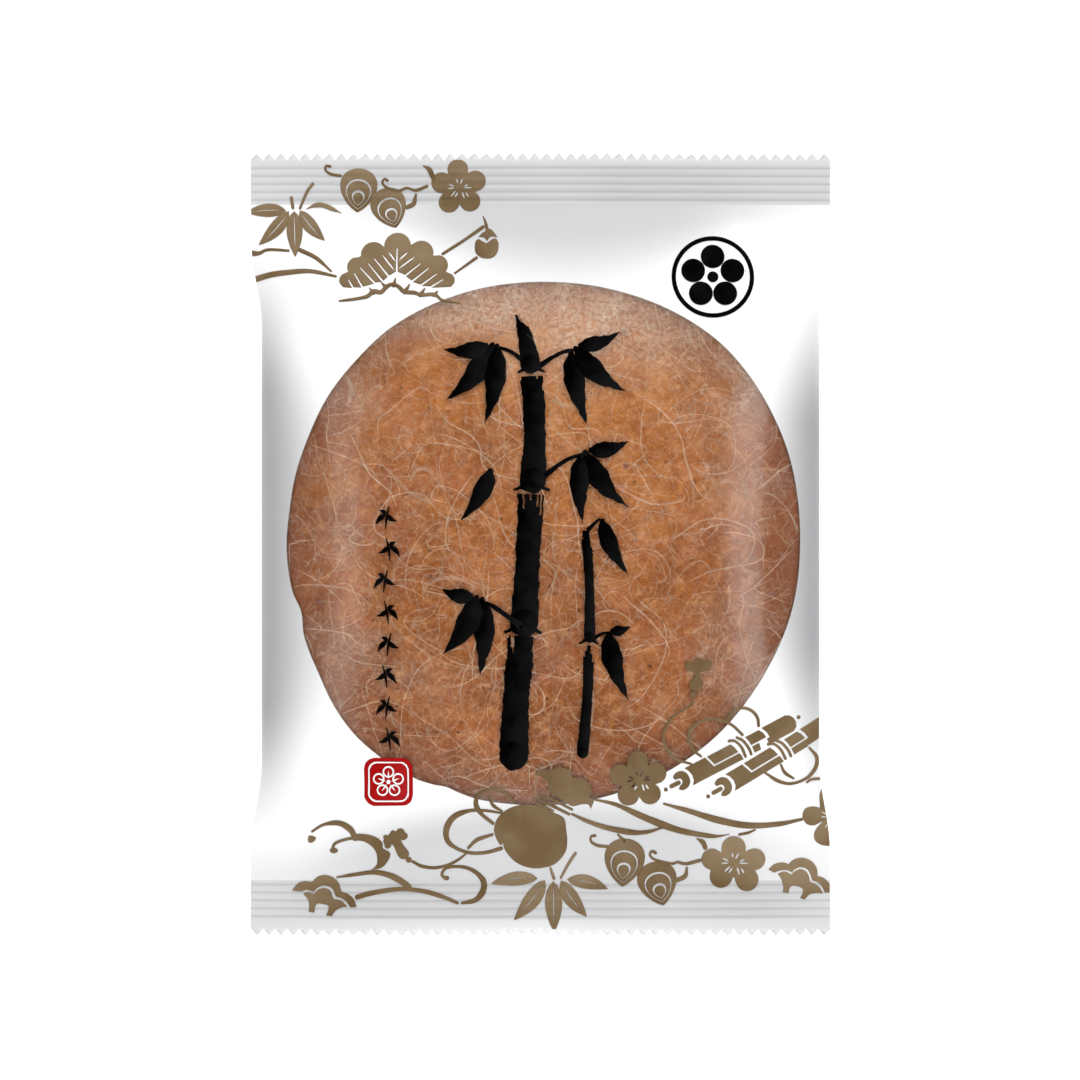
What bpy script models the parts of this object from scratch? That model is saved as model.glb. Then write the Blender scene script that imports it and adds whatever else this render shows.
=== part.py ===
"""A dorayaki in its sealed pillow pack, lying on its back.

The pack is one closed body: a tube of film drawn tight over the round cake,
pressed flat and crimped at both ends, with toothed cut edges and a fin seal
folded flat along the underside. Metres, +Z up, +Y towards the pack's top end,
origin on the surface below the middle of the pack.
"""

import math

import bmesh
import bpy

MM = 0.001

# Size of the pack.
PACK_LENGTH = 135 * MM
PACK_WIDTH = 100 * MM
WAIST_WIDTH = 96.2 * MM
SEAL_HEIGHT = 9.2 * MM
SEAL_THICKNESS = 0.8 * MM
TOP_RISE = 11.6 * MM
BELLY_DEPTH = 10.6 * MM

# The waist: straight along the cake, flaring to the full width before the seals.
FLARE_START = 37 * MM
FLARE_END = 53 * MM

# Form of the puffed tube, along and across.
LENGTH_POWER = 2.4
LENGTH_TAPER = 1.1
SECTION_POWER = 2.5
SECTION_TAPER = 0.6
SHOULDER_HEIGHT = 0.7 * MM
SHOULDER_SPREAD = 5 * MM
SHOULDER_REACH = 0.5

# The flat ends sag at their corners and wave a little.
CORNER_SAG = 1.3 * MM
END_WAVE = 0.45 * MM
WAVE_LENGTH = 58 * MM
WAVE_START_TOP = 0.9
WAVE_START_BOTTOM = -1.8
SAG_START = 42 * MM

# Crimped end seals, measured from the middle of the pack.
CRIMP_COUNT = 5
CRIMP_PITCH = 1.38 * MM
CRIMP_DEPTH = 0.16 * MM
FIRST_CRIMP_TOP = 59.4 * MM
FIRST_CRIMP_BOTTOM = 58.7 * MM

# Toothed cut along both ends.
TOOTH_COUNT = 48
TOOTH_DEPTH = 1.1 * MM
CUTTER_DEPTH = 2 * MM

# Fin seal along the underside, folded to one side.
FIN_FOLD = -1 * MM
FIN_WIDTH = 10 * MM
FIN_THICKNESS = 0.6 * MM
FIN_ROOT = 0.35 * MM
FIN_LOWEST = 0.12 * MM

# Fineness of the mesh.
COLUMNS = 34
BODY_ROWS = 36
FIN_COLUMNS = 3
EDGE_CROWDING = 0.7
WELD_DISTANCE = 0.001 * MM
SHARP_ANGLE = math.radians(40)

FILM_COLOUR = (0.93, 0.93, 0.92, 1.0)
FILM_ROUGHNESS = 0.3


def smooth_step(value, low, high):
    """0 below low, 1 above high, with a soft ramp between them."""
    share = min(max((value - low) / (high - low), 0.0), 1.0)
    return share * share * (3 - 2 * share)


def first_crimp(y):
    """Distance of the innermost groove from the middle, at that end."""
    return FIRST_CRIMP_TOP if y > 0 else FIRST_CRIMP_BOTTOM


def seal_edge(y):
    """Distance from the middle at which the film comes out of the end seal."""
    return first_crimp(y) - CRIMP_PITCH / 2


def half_width(y):
    flare = smooth_step(abs(y), FLARE_START, FLARE_END)
    return (WAIST_WIDTH + (PACK_WIDTH - WAIST_WIDTH) * flare) / 2


def fullness(x, y):
    """Share of the full depth that the tube has there: 1 in the middle, 0 at its rim and its seals."""
    along = min(abs(y) / seal_edge(y), 1.0)
    across = min(abs(x) / half_width(y), 1.0)
    lengthwise = (1 - along**LENGTH_POWER) ** LENGTH_TAPER
    crosswise = (1 - across**SECTION_POWER) ** SECTION_TAPER
    return lengthwise * crosswise


def shoulder(x, y):
    """Soft fold from each corner of the seals towards the cake, as a rise of the film."""
    corner_x = PACK_WIDTH / 2
    corner_y = seal_edge(y)
    run_x, run_y = SHOULDER_REACH * corner_x, SHOULDER_REACH * corner_y
    run = math.hypot(run_x, run_y)
    from_corner_x = corner_x - abs(x)
    from_corner_y = corner_y - abs(y)
    along = (from_corner_x * run_x + from_corner_y * run_y) / run
    aside = (from_corner_x * run_y - from_corner_y * run_x) / run
    share = min(max(along / run, 0.0), 1.0)
    return SHOULDER_HEIGHT * math.sin(math.pi * share) ** 2 * math.exp(-((aside / SHOULDER_SPREAD) ** 2))


def crimp(y):
    """Wave pressed into both layers of an end seal."""
    across_grooves = (abs(y) - first_crimp(y)) / CRIMP_PITCH
    if not -0.5 < across_grooves < CRIMP_COUNT - 0.5:
        return 0.0
    return -CRIMP_DEPTH * (1 + math.cos(2 * math.pi * across_grooves)) / 2


def middle_height(x, y):
    """Height halfway between the two layers: level along the cake, sagging and waving at the ends."""
    reach = smooth_step(abs(y), SAG_START, seal_edge(y))
    start = WAVE_START_TOP if y > 0 else WAVE_START_BOTTOM
    wave = END_WAVE * math.sin(2 * math.pi * x / WAVE_LENGTH + start)
    sag = CORNER_SAG * (2 * x / PACK_WIDTH) ** 2
    return SEAL_HEIGHT + reach * (wave - sag)


def top_height(x, y):
    """Height of the film's upper side."""
    rise = TOP_RISE * fullness(x, y) + shoulder(x, y) + crimp(y)
    return middle_height(x, y) + SEAL_THICKNESS / 2 + rise


def bottom_height(x, y):
    """Height of the film's underside, flat where the pack rests."""
    drop = BELLY_DEPTH * fullness(x, y) + shoulder(x, y) / 2 - crimp(y)
    return max(middle_height(x, y) - SEAL_THICKNESS / 2 - drop, 0.0)


def end_rows(y_sign):
    """Rows through one end seal, on each groove and each crest, out to the cut edge."""
    crests_and_grooves = [
        seal_edge(y_sign) + step * CRIMP_PITCH / 2 for step in range(2 * CRIMP_COUNT + 1)
    ]
    return [y_sign * y for y in crests_and_grooves + [PACK_LENGTH / 2]]


def all_rows():
    """Places along the pack where the mesh has a row of points."""
    lowest, highest = -seal_edge(-1), seal_edge(1)
    body = [
        lowest + (highest - lowest) * step / BODY_ROWS for step in range(1, BODY_ROWS)
    ]
    return sorted(end_rows(-1) + body + end_rows(1))


def crowded(share):
    """Share of the half width, from -1 to 1, with points crowded towards the steep sides."""
    return (1 - EDGE_CROWDING) * share + EDGE_CROWDING * math.sin(math.pi / 2 * share)


def closed_sheet(name, columns, rows, place, upper, lower):
    """A flat grid given a thickness: place gives a point's x and y, upper and lower its two heights."""
    mesh_builder = bmesh.new()
    bmesh.ops.create_grid(
        mesh_builder, x_segments=columns, y_segments=len(rows) - 1, size=1.0
    )
    under = list(mesh_builder.verts)
    doubled = bmesh.ops.extrude_face_region(
        mesh_builder, geom=list(mesh_builder.faces), use_keep_orig=True
    )
    over = [item for item in doubled["geom"] if isinstance(item, bmesh.types.BMVert)]
    for vertices, height in ((under, lower), (over, upper)):
        for vertex in vertices:
            row = rows[round((vertex.co.y + 1) / 2 * (len(rows) - 1))]
            x, y = place(vertex.co.x, row)
            vertex.co = (x, y, height(x, y))
    bmesh.ops.recalc_face_normals(mesh_builder, faces=list(mesh_builder.faces))
    mesh = bpy.data.meshes.new(name)
    mesh_builder.to_mesh(mesh)
    mesh_builder.free()
    return bpy.data.objects.new(name, mesh)


def make_tube():
    """The puffed tube of film with its flat end seals, square at the ends."""
    return closed_sheet(
        "dorayaki_pack",
        COLUMNS,
        all_rows(),
        lambda share, y: (half_width(y) * crowded(share), y),
        top_height,
        bottom_height,
    )


def make_fin():
    """The lengthwise fin seal, folded flat under the tube and rooted in it."""
    return closed_sheet(
        "fin_seal",
        FIN_COLUMNS,
        all_rows(),
        lambda share, y: (FIN_FOLD + FIN_WIDTH * (share + 1) / 2, y),
        lambda x, y: bottom_height(x, y) + FIN_ROOT,
        lambda x, y: max(bottom_height(x, y) - FIN_THICKNESS, FIN_LOWEST),
    )


def make_tooth_cutter(y_sign):
    """What the toothed knife takes off one end: a zigzag outline, extruded."""
    pitch = PACK_WIDTH / TOOTH_COUNT
    tip = PACK_LENGTH / 2
    outline = [
        (-PACK_WIDTH / 2 + step * pitch / 2, tip - TOOTH_DEPTH * (1 - step % 2))
        for step in range(-1, 2 * TOOTH_COUNT + 2)
    ]
    far_side = tip + CUTTER_DEPTH
    outline = [(outline[0][0], far_side)] + outline + [(outline[-1][0], far_side)]
    curve = bpy.data.curves.new("tooth_outline", "CURVE")
    curve.dimensions = "2D"
    curve.fill_mode = "BOTH"
    curve.extrude = SEAL_HEIGHT / 2
    line = curve.splines.new("POLY")
    line.points.add(len(outline) - 1)
    for point, (x, y) in zip(line.points, outline):
        point.co = (x, y_sign * y, 0, 1)
    line.use_cyclic_u = True
    flat = bpy.data.objects.new("tooth_outline", curve)
    flat.location.z = SEAL_HEIGHT
    bpy.context.scene.collection.objects.link(flat)
    bpy.context.view_layer.update()
    cutter = mesh_of_curve(flat, "tooth_cutter_top" if y_sign > 0 else "tooth_cutter_bottom")
    bpy.data.objects.remove(flat)
    return cutter


def mesh_of_curve(curve_object, name):
    """The curve as a closed mesh with its faces pointing out."""
    evaluated = curve_object.evaluated_get(bpy.context.evaluated_depsgraph_get())
    mesh = bpy.data.meshes.new_from_object(evaluated)
    mesh_builder = bmesh.new()
    mesh_builder.from_mesh(mesh)
    bmesh.ops.remove_doubles(mesh_builder, verts=list(mesh_builder.verts), dist=WELD_DISTANCE)
    bmesh.ops.recalc_face_normals(mesh_builder, faces=list(mesh_builder.faces))
    mesh_builder.to_mesh(mesh)
    mesh_builder.free()
    made = bpy.data.objects.new(name, mesh)
    made.matrix_world = curve_object.matrix_world
    return made


def film_material():
    material = bpy.data.materials.new("film")
    material.use_nodes = True
    shader = material.node_tree.nodes["Principled BSDF"]
    shader.inputs["Base Color"].default_value = FILM_COLOUR
    shader.inputs["Roughness"].default_value = FILM_ROUGHNESS
    shader.inputs["Metallic"].default_value = 0.0
    return material


def add_boolean(target, other, operation):
    modifier = target.modifiers.new(other.name, "BOOLEAN")
    modifier.operation = operation
    modifier.object = other
    modifier.solver = "EXACT"


def make_collection(name):
    collection = bpy.data.collections.new(name)
    bpy.context.scene.collection.children.link(collection)
    return collection


def hide_helper(helper, collection):
    collection.objects.link(helper)
    helper.hide_render = True
    helper.display_type = "WIRE"


def main():
    for leftover in list(bpy.data.objects):
        bpy.data.objects.remove(leftover)
    parts = make_collection("dorayaki_in_its_pack")
    helpers = make_collection("helpers")

    pack = make_tube()
    parts.objects.link(pack)
    pack.data.materials.append(film_material())
    pack.data.shade_smooth()
    pack.data.set_sharp_from_angle(angle=SHARP_ANGLE)

    fin = make_fin()
    hide_helper(fin, helpers)
    add_boolean(pack, fin, "UNION")
    for y_sign in (1, -1):
        cutter = make_tooth_cutter(y_sign)
        hide_helper(cutter, helpers)
        add_boolean(pack, cutter, "DIFFERENCE")


main()
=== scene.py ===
import math

import bmesh
import bpy
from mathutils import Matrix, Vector, noise
from mathutils.geometry import tessellate_polygon


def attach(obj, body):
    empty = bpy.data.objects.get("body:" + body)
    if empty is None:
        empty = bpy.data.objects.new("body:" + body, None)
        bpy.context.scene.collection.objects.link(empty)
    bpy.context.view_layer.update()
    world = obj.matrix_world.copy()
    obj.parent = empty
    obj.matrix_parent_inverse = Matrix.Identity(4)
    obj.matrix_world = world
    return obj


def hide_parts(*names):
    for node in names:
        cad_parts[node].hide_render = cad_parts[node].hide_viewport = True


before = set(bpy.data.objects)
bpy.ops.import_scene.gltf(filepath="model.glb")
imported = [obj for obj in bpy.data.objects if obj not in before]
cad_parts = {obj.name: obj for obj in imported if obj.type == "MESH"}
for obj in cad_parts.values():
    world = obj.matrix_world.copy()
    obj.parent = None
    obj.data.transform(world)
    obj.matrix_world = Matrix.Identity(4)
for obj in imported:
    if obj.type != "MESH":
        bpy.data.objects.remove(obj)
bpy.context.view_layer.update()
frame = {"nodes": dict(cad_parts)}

print("frame loaded:", ", ".join(frame["nodes"]))

mm = 0.001  # everything below is in millimetres until it becomes a mesh

cameraView = {
    "lens": 200.0,
    "sensor": 36.0,
    "frameWidth": 186.2,      # what the picture spans at the height of the seals
    "sealPlane": 9.4,
    "middle": (-0.09, 0.78),  # point of the pack in the middle of the picture
    "reach": 10,              # metres
}


def addCamera(view):
    data = bpy.data.cameras.new("camera")
    data.sensor_width, data.lens, data.clip_end = view["sensor"], view["lens"], view["reach"]
    camera = bpy.data.objects.new("camera", data)
    height = view["sealPlane"] + view["frameWidth"] * view["lens"] / view["sensor"]
    camera.location = (view["middle"][0] * mm, view["middle"][1] * mm, height * mm)
    bpy.context.scene.collection.objects.link(camera)
    bpy.context.scene.camera = camera


addCamera(cameraView)


def smoothStep(value, low, high):
    share = min(max((value - low) / (high - low), 0.0), 1.0)
    return share * share * (3 - 2 * share)


def blendOf(low, high, share):
    return low + (high - low) * share


def curveThrough(before, start, end, after, t):
    # from start to end, heading as the spots before and after ask for
    return 0.5 * (2 * start + (end - before) * t + (2 * before - 5 * start + 4 * end - after) * t * t
                  + (3 * start - 3 * end + after - before) * t ** 3)


def polar(x, y, radius, degrees):
    angle = math.radians(degrees)
    return x + radius * math.cos(angle), y + radius * math.sin(angle)


def fractal(x, y, z, settings):
    return noise.fractal(Vector((x, y, z)), *settings)


def makePiece(name, verts, faces, material):
    mesh = bpy.data.meshes.new(name)
    mesh.from_pydata([(x * mm, y * mm, z * mm) for x, y, z in verts], [], faces)
    mesh.update()
    mesh.materials.append(material)
    mesh.polygons.foreach_set("use_smooth", [True] * len(mesh.polygons))
    piece = bpy.data.objects.new(name, mesh)
    bpy.context.scene.collection.objects.link(piece)
    return piece


def addLayer(piece, name, values):
    layer = piece.data.attributes.new(name, "FLOAT", "POINT")
    layer.data.foreach_set("value", values)


class Graph:
    # fills a node tree; most calls return the socket that the next one reads
    def __init__(self, tree):
        self.nodes, self.links = tree.nodes, tree.links

    def feed(self, value, socket):
        # another node's socket, or a plain value
        if isinstance(value, bpy.types.NodeSocket):
            self.links.new(value, socket)
        elif socket.type == "RGBA":
            socket.default_value = (*value, 1)
        else:
            socket.default_value = value

    def fill(self, node, inputs):
        for key, value in inputs.items():
            self.feed(value, node.inputs[key])
        return node

    def add(self, kind, inputs=None, **settings):
        node = self.nodes.new(kind)
        for key, value in settings.items():
            setattr(node, key, value)
        return self.fill(node, inputs or {})

    def maths(self, operation, first, second=0.0):
        return self.add("ShaderNodeMath", {0: first, 1: second}, operation=operation).outputs[0]

    def times(self, first, second):
        return self.maths("MULTIPLY", first, second)

    def vector(self, operation, inputs):
        return self.add("ShaderNodeVectorMath", inputs, operation=operation).outputs[0]

    def place(self):
        return self.add("ShaderNodeTexCoord").outputs["Object"]

    def attribute(self, name):
        return self.add("ShaderNodeAttribute", attribute_name=name).outputs["Fac"]

    def noise(self, source, size, detail, rough=0.55):
        # size is that of one blotch, in millimetres
        values = {"Vector": source, "Scale": 1000 / size, "Detail": detail, "Roughness": rough}
        return self.add("ShaderNodeTexNoise", values).outputs["Fac"]

    def mapped(self, source, fromLow, fromHigh, toLow, toHigh):
        values = {0: source, 1: fromLow, 2: fromHigh, 3: toLow, 4: toHigh}
        return self.add("ShaderNodeMapRange", values).outputs[0]

    def mix(self, factor, first, second, mode="MIX"):
        values = {0: factor, 6: first, 7: second}
        return self.add("ShaderNodeMix", values, data_type="RGBA", blend_type=mode).outputs[2]

    def ramp(self, source, stops):
        node = self.add("ShaderNodeValToRGB", {"Fac": source})
        elements = node.color_ramp.elements
        while len(elements) < len(stops):
            elements.new(0.5)
        for element, (position, colour) in zip(elements, stops):
            element.position = position
            element.color = (*colours[colour], 1)
        return node.outputs[0]

    def bumps(self, *layers):
        # each layer is a height, a strength and a distance, from the finest one up
        normal = {}
        for height, strength, distance in layers:
            values = {"Height": height, "Strength": strength, "Distance": distance * mm, **normal}
            normal = {"Normal": self.add("ShaderNodeBump", values).outputs[0]}
        return normal["Normal"]

    def outside(self):
        # 1 where a face is seen from its front
        return self.maths("SUBTRACT", 1.0, self.add("ShaderNodeNewGeometry").outputs["Backfacing"])

    def blend(self, factor, first, second):
        return self.add("ShaderNodeMixShader", {0: factor, 1: first, 2: second}).outputs[0]

    def finish(self, shader):
        self.links.new(shader, self.nodes["Material Output"].inputs["Surface"])


def newMaterial(name):
    material = bpy.data.materials.new(name)
    material.use_nodes = True
    graph = Graph(material.node_tree)
    return material, graph, graph.nodes["Principled BSDF"]


packForm = {
    "length": 135.0, "width": 100.0, "waist": 96.2,
    "flareStart": 37.0, "flareEnd": 53.0,
    "sealHeight": 9.2, "sealThickness": 0.3,
    "topRise": 11.6, "bellyDepth": 10.6,
    "lengthPower": 2.4, "lengthTaper": 1.1, "sectionPower": 2.5, "sectionTaper": 0.6,
    "shoulderHeight": 0.7, "shoulderSpread": 5.0, "shoulderReach": 0.5,
    "cornerSag": 1.3, "endWave": 0.45, "waveLength": 58.0, "waveStartTop": 0.9, "waveStartBottom": -1.8,
    "sagStart": 42.0,
    "crimps": 5, "crimpPitch": 1.38, "crimpDepth": 0.16, "firstCrimpTop": 59.4, "firstCrimpBottom": 58.7,
    "teeth": 48, "toothDepth": 1.1,
    "restHeight": 0.06, "puckerDepth": 0.16, "puckerReach": 5.0, "puckerWidth": 3.4, "puckerLength": 16,
    "puckerStart": 2.5, "puckerSides": (0.9, 1.0), "puckerFront": 3.1, "puckerBack": 7.7,
}


def firstCrimp(y):
    return packForm["firstCrimpTop"] if y > 0 else packForm["firstCrimpBottom"]


def sealEdge(y):
    return firstCrimp(y) - packForm["crimpPitch"] / 2


def halfWidth(y):
    flare = smoothStep(abs(y), packForm["flareStart"], packForm["flareEnd"])
    return blendOf(packForm["waist"], packForm["width"], flare) / 2


def fullness(x, y):
    along = min(abs(y) / sealEdge(y), 1.0)
    across = min(abs(x) / halfWidth(y), 1.0)
    lengthwise = (1 - along ** packForm["lengthPower"]) ** packForm["lengthTaper"]
    return lengthwise * (1 - across ** packForm["sectionPower"]) ** packForm["sectionTaper"]


def shoulder(x, y):
    # low ridge of film running in from each corner
    runX = packForm["shoulderReach"] * packForm["width"] / 2
    runY = packForm["shoulderReach"] * sealEdge(y)
    run = math.hypot(runX, runY)
    inX = packForm["width"] / 2 - abs(x)
    inY = sealEdge(y) - abs(y)
    share = min(max((inX * runX + inY * runY) / run / run, 0.0), 1.0)
    aside = (inX * runY - inY * runX) / run
    spread = math.exp(-((aside / packForm["shoulderSpread"]) ** 2))
    return packForm["shoulderHeight"] * math.sin(math.pi * share) ** 2 * spread


def crimp(y):
    grooves = (abs(y) - firstCrimp(y)) / packForm["crimpPitch"]
    if not -0.5 < grooves < packForm["crimps"] - 0.5:
        return 0.0
    return -packForm["crimpDepth"] * (1 + math.cos(2 * math.pi * grooves)) / 2


def middleHeight(x, y):
    reach = smoothStep(abs(y), packForm["sagStart"], sealEdge(y))
    start = packForm["waveStartTop"] if y > 0 else packForm["waveStartBottom"]
    wave = packForm["endWave"] * math.sin(2 * math.pi * x / packForm["waveLength"] + start)
    sag = packForm["cornerSag"] * (2 * x / packForm["width"]) ** 2
    return packForm["sealHeight"] + reach * (wave - sag)


def pucker(x, y, seed):
    # small gathers where the tube is pressed flat, fading towards the cake and out at the sides
    away = sealEdge(y) - abs(y)
    if away <= 0:
        return 0.0
    fade = min(away / packForm["puckerStart"], 1.0) * math.exp(-away / packForm["puckerReach"])
    fade *= 1 - smoothStep(abs(x) / halfWidth(y), *packForm["puckerSides"])
    spot = Vector((x / packForm["puckerWidth"], y / packForm["puckerLength"], seed))
    return packForm["puckerDepth"] * fade * noise.noise(spot)


def frontHeight(x, y):
    rise = packForm["topRise"] * fullness(x, y) + shoulder(x, y) + pucker(x, y, packForm["puckerFront"])
    return middleHeight(x, y) + packForm["sealThickness"] / 2 + rise + crimp(y)


finSeal = {
    "fold": -1.0, "width": 10.0, "end": 65.7, "thickness": 0.22, "lift": 0.34, "lifted": 7.5, "gap": 0.05,
    "rib": 0.03, "pitch": 1.1, "columns": 8, "rows": 840, "pastCake": -0.17, "cloud": 0.7, "paintedShade": 0.12,
}


def backHeight(x, y):
    drop = packForm["bellyDepth"] * fullness(x, y) + shoulder(x, y) / 2 - crimp(y)
    drop += pucker(x, y, packForm["puckerBack"])
    low = max(middleHeight(x, y) - packForm["sealThickness"] / 2 - drop, packForm["restHeight"])
    # the film is pressed up a little where the fin seal lies under it
    half = finSeal["width"] / 2
    overFin = 1 - smoothStep(abs(x - finSeal["fold"] - half), half, finSeal["lifted"])
    return max(low, overFin * finSeal["lift"])


def toothedEnd(x, y):
    # cut edge at one end: tips and valleys half a tooth apart
    step = (x + packForm["width"] / 2) / (packForm["width"] / packForm["teeth"] / 2)
    fromTip = abs(step % 2 - 1)
    return math.copysign(packForm["length"] / 2 - packForm["toothDepth"] * fromTip, y)


cakeForm = {
    "middle": (0.6, -0.1),
    # angle and radius of the upper pancake, with its bulge at the lower left, and of the lower one
    "top": ((0, 44.2), (10, 44.5), (20, 45.0), (30, 45.4), (40, 45.9), (50, 46.2), (65, 45.9), (75, 45.6),
            (90, 45.4), (105, 45.6), (125, 45.8), (135, 45.4), (145, 45.2), (155, 44.7), (165, 44.5),
            (172, 44.3), (181, 44.4), (190.5, 44.1), (195.3, 43.4), (200.5, 44.2), (210, 44.7), (218, 45.6),
            (225, 46.1), (233, 46.1), (241.5, 45.9), (245.5, 45.4), (248, 44.95), (251, 45.1), (255, 45.25),
            (263, 45.0), (275, 44.8), (290, 44.5), (310, 44.3), (330, 44.0), (345, 44.2)),
    "bottom": ((0, 42.6), (45, 43.2), (90, 43.4), (135, 43.7), (180, 43.2), (205, 43.6), (230, 44.8),
               (262, 43.7), (300, 43.0), (330, 42.6)),
    "paste": 41.8,
    "tuck": 0.7,    # how far the crust reaches under the white of the film
    "filmGap": 0.3,
    "topRim": (9.9, 200, 0.42),     # height of the lower edge, and how sharply the crust turns over
    "bottomRim": (9.0, 110, 0.42),
    "spokes": 300,
}


def radiusAt(table, angle):
    # smooth curve through the listed radii
    angle %= 360
    count = len(table)
    for index in range(count):
        start, startRadius = table[index]
        end, endRadius = table[(index + 1) % count]
        if index == count - 1:
            end += 360
        if start <= angle < end:
            before, after = table[index - 1][1], table[(index + 2) % count][1]
            return curveThrough(before, startRadius, endRadius, after, (angle - start) / (end - start))
    return table[0][1]


def pastCake(x, y, fromAbove=True):
    # distance outside the outline of the cake, negative over it
    x, y = x - cakeForm["middle"][0], y - cakeForm["middle"][1]
    table = cakeForm["top" if fromAbove else "bottom"]
    return math.hypot(x, y) - radiusAt(table, math.degrees(math.atan2(y, x)))


colours = {
    "crustLight": (0.60, 0.275, 0.102), "crust": (0.368, 0.120, 0.024), "crustDark": (0.222, 0.061, 0.012),
    # the last crust colour paints shade at the rim
    "crustRosy": (0.385, 0.128, 0.055), "crustRimShade": (0.170, 0.060, 0.032),
    "pore": (0.070, 0.025, 0.006), "speck": (0.13, 0.055, 0.060),
    # the film's white, and the grey of the shade painted onto it
    "film": (0.93, 0.93, 0.935), "filmPaintedShade": (0.29, 0.29, 0.30),
    # each second gold, ink and red colour is the pale end of uneven printing and of a painted sheen
    "gold": (0.140, 0.088, 0.038), "goldPaleAndSheen": (0.40, 0.305, 0.195),
    "ink": (0.0008, 0.0008, 0.0008), "inkUnevenAndSheen": (0.016, 0.016, 0.017),
    "red": (0.34, 0.003, 0.003), "redPaleAndSheen": (0.42, 0.026, 0.032),
    "white": (0.90, 0.90, 0.89), "fibre": (0.89, 0.71, 0.54), "fibreDull": (0.72, 0.50, 0.34),
    "paste": (0.075, 0.022, 0.016), "pasteLight": (0.14, 0.045, 0.03),
}
# each noise below is the size of its blotches, its detail and its roughness; each bump a strength and a depth
filmLooks = {
    "grain": (0.7, 4), "flow": (9, 2), "grainSpan": (0.36, 0.64, 0.35, 1.65),
    "rough": 0.38, "specular": 0.35, "grainBump": (0.15, 0.05), "flowBump": (0.12, 0.4),
    "glossRough": 0.15, "refraction": 1.5, "mostShine": 0.22,
    "cloud": 0.2,                # most that a soft cloud of fibres adds over the cake
    # clouds: size, how strong, and the noise's own settings; how near the rim they thicken
    "clouds": (13, 0.7, (0.8, 2.1, 3)), "wisps": (4.5, 6.5, 0.4, (0.9, 2.0, 3)), "thicken": (-24, -3),
    "cloudShare": (0.2, 0.6), "farthest": (-40, 8),
    # extra white cloud at the top of the cake, a painted reflection: from what height, round what middle and
    # how wide
    "deepCloud": ((23, 38), 12, (9, 27)), "wideCloud": ((33, 40), 0, (19, 31)),
    "topFade": (0.45, -4.0, -0.5), "topShare": (0.8, 0.3),
    # fine fuzz: size of the curls, how thin, and how much each adds
    "hairs": ((5.2, 0.015, 0.13), (3.3, 0.019, 0.13), (2.1, 0.027, 0.12), (1.3, 0.04, 0.11),
              (0.8, 0.06, 0.08)),
    "hairSeed": (3.1, 4.7), "hairBreaks": (0.44, 0.6), "breakSeed": 7,
    "standOff": (-0.3, -0.14),  # millimetres past the cake over which it turns white
    "white": 0.975,
    # painted shade on the tube's two sides, greying the white: how dark, round what height, where it fades,
    # how far in
    "sideLeft": {"grey": 0.94, "middle": -2.0, "above": (26.0, 56.0), "below": (24.0, 51.0),
                 "reach": (16.0, 8.0)},
    "sideRight": {"grey": 1.0, "middle": 3.0, "above": (16.0, 46.0), "below": (18.0, 56.0),
                  "reach": (13.5, 5.5)},
    "sideNarrow": (14, 42), "sideStart": -1.0,
    # painted shade beside each seal, greying the white: how dark and round what middle, and how it fades
    # towards the sides;
    # how far in it reaches and round what middle, what share of that is full, how much it narrows
    "endTop": {"grey": 0.60, "middle": 5.0, "fade": 0.95, "from": (0.3, 1.0),
               "reach": 20.0, "reachMiddle": 4.0, "full": 0.2, "narrow": 1.9, "least": 0.35},
    "endBottom": {"grey": 0.55, "middle": -1.0, "fade": 0.66, "from": (0.4, 1.05),
                  "reach": 17.5, "reachMiddle": 6.0, "full": 0.6, "narrow": 0.4, "least": 0.25},
    # painted shade on the seals: a grey level, darker in every crimp groove, towards the toothed edge and on
    # the top teeth
    "leastFull": 0.1, "sealPaintedShade": 0.55, "sealUneven": 0.12, "sealSize": 15,
    "groovePaintedShade": 0.17, "groovePower": 5,
    "edgePaintedShade": 0.42, "edgeReach": (6.1, 7.2), "bottomEdge": 0.5, "teethPaintedShade": 0.1, "teethReach": (7.7, 8.4),
}
crustLooks = {
    "broad": (7, 3), "mottle": (2.3, 6, 0.72), "crumb": (0.42, 5, 0.8),
    "tones": ((0.0, "crustDark"), (0.42, "crust"), (1.0, "crustLight")),
    # rosy and pale patches, then darker ones: where they start and are full, and how much they cover
    "patches": (("broad", 0.46, 0.68, 0.5, "crustRosy"), ("mottle", 0.50, 0.34, 0.45, "crustLight"),
                ("mottle", 0.50, 0.68, 0.65, "crustDark")),
    "grain": (0.36, 0.64, 0.8, 1.2),
    # pores: few, small and ragged, with some larger purple-grey specks; distance, size, colour and cover
    "pores": ((2.5, 0.105, "pore", 0.85), (8.5, 0.065, "speck", 0.75)),
    "ragged": 0.0016, "poreEdge": (0.5, 1.6), "poreShare": 0.5,
    "rough": 0.7, "specular": 0.1, "crumbBump": (0.3, 0.15), "mottleBump": (0.25, 0.3),
}
pasteLooks = {
    "beans": (2.2, 4), "tones": ((0.35, "paste"), (0.7, "pasteLight")), "rough": 0.32, "bump": (0.6, 0.8),
}
inkLooks = {
    "speckle": (0.4, 2), "patchDetail": 3, "uneven": (0.35, 0.65, -0.1, 0.1), "bump": (0.08, 0.03),
    "roughSpan": (0.3, 0.7, -0.06, 0.08),
    # dark colour, the light colour of uneven patches and painted sheen, roughness, size of the patches and
    # shine
    "goldPrint": ("goldInk", "gold", "goldPaleAndSheen", 0.45, 6, 0.09),
    "blackPrint": ("blackInk", "ink", "inkUnevenAndSheen", 0.5, 3, 0.0),
    "redPrint": ("redInk", "red", "redPaleAndSheen", 0.5, 4, 0.03),
    "whitePrint": ("whiteInk", "white", "film", 0.4, 3, 0.2),
}
fibreLooks = {"along": (5, 2), "tones": ((0.35, "fibreDull"), (0.65, "fibre")), "rough": 0.6, "specular": 0.1}


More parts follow.
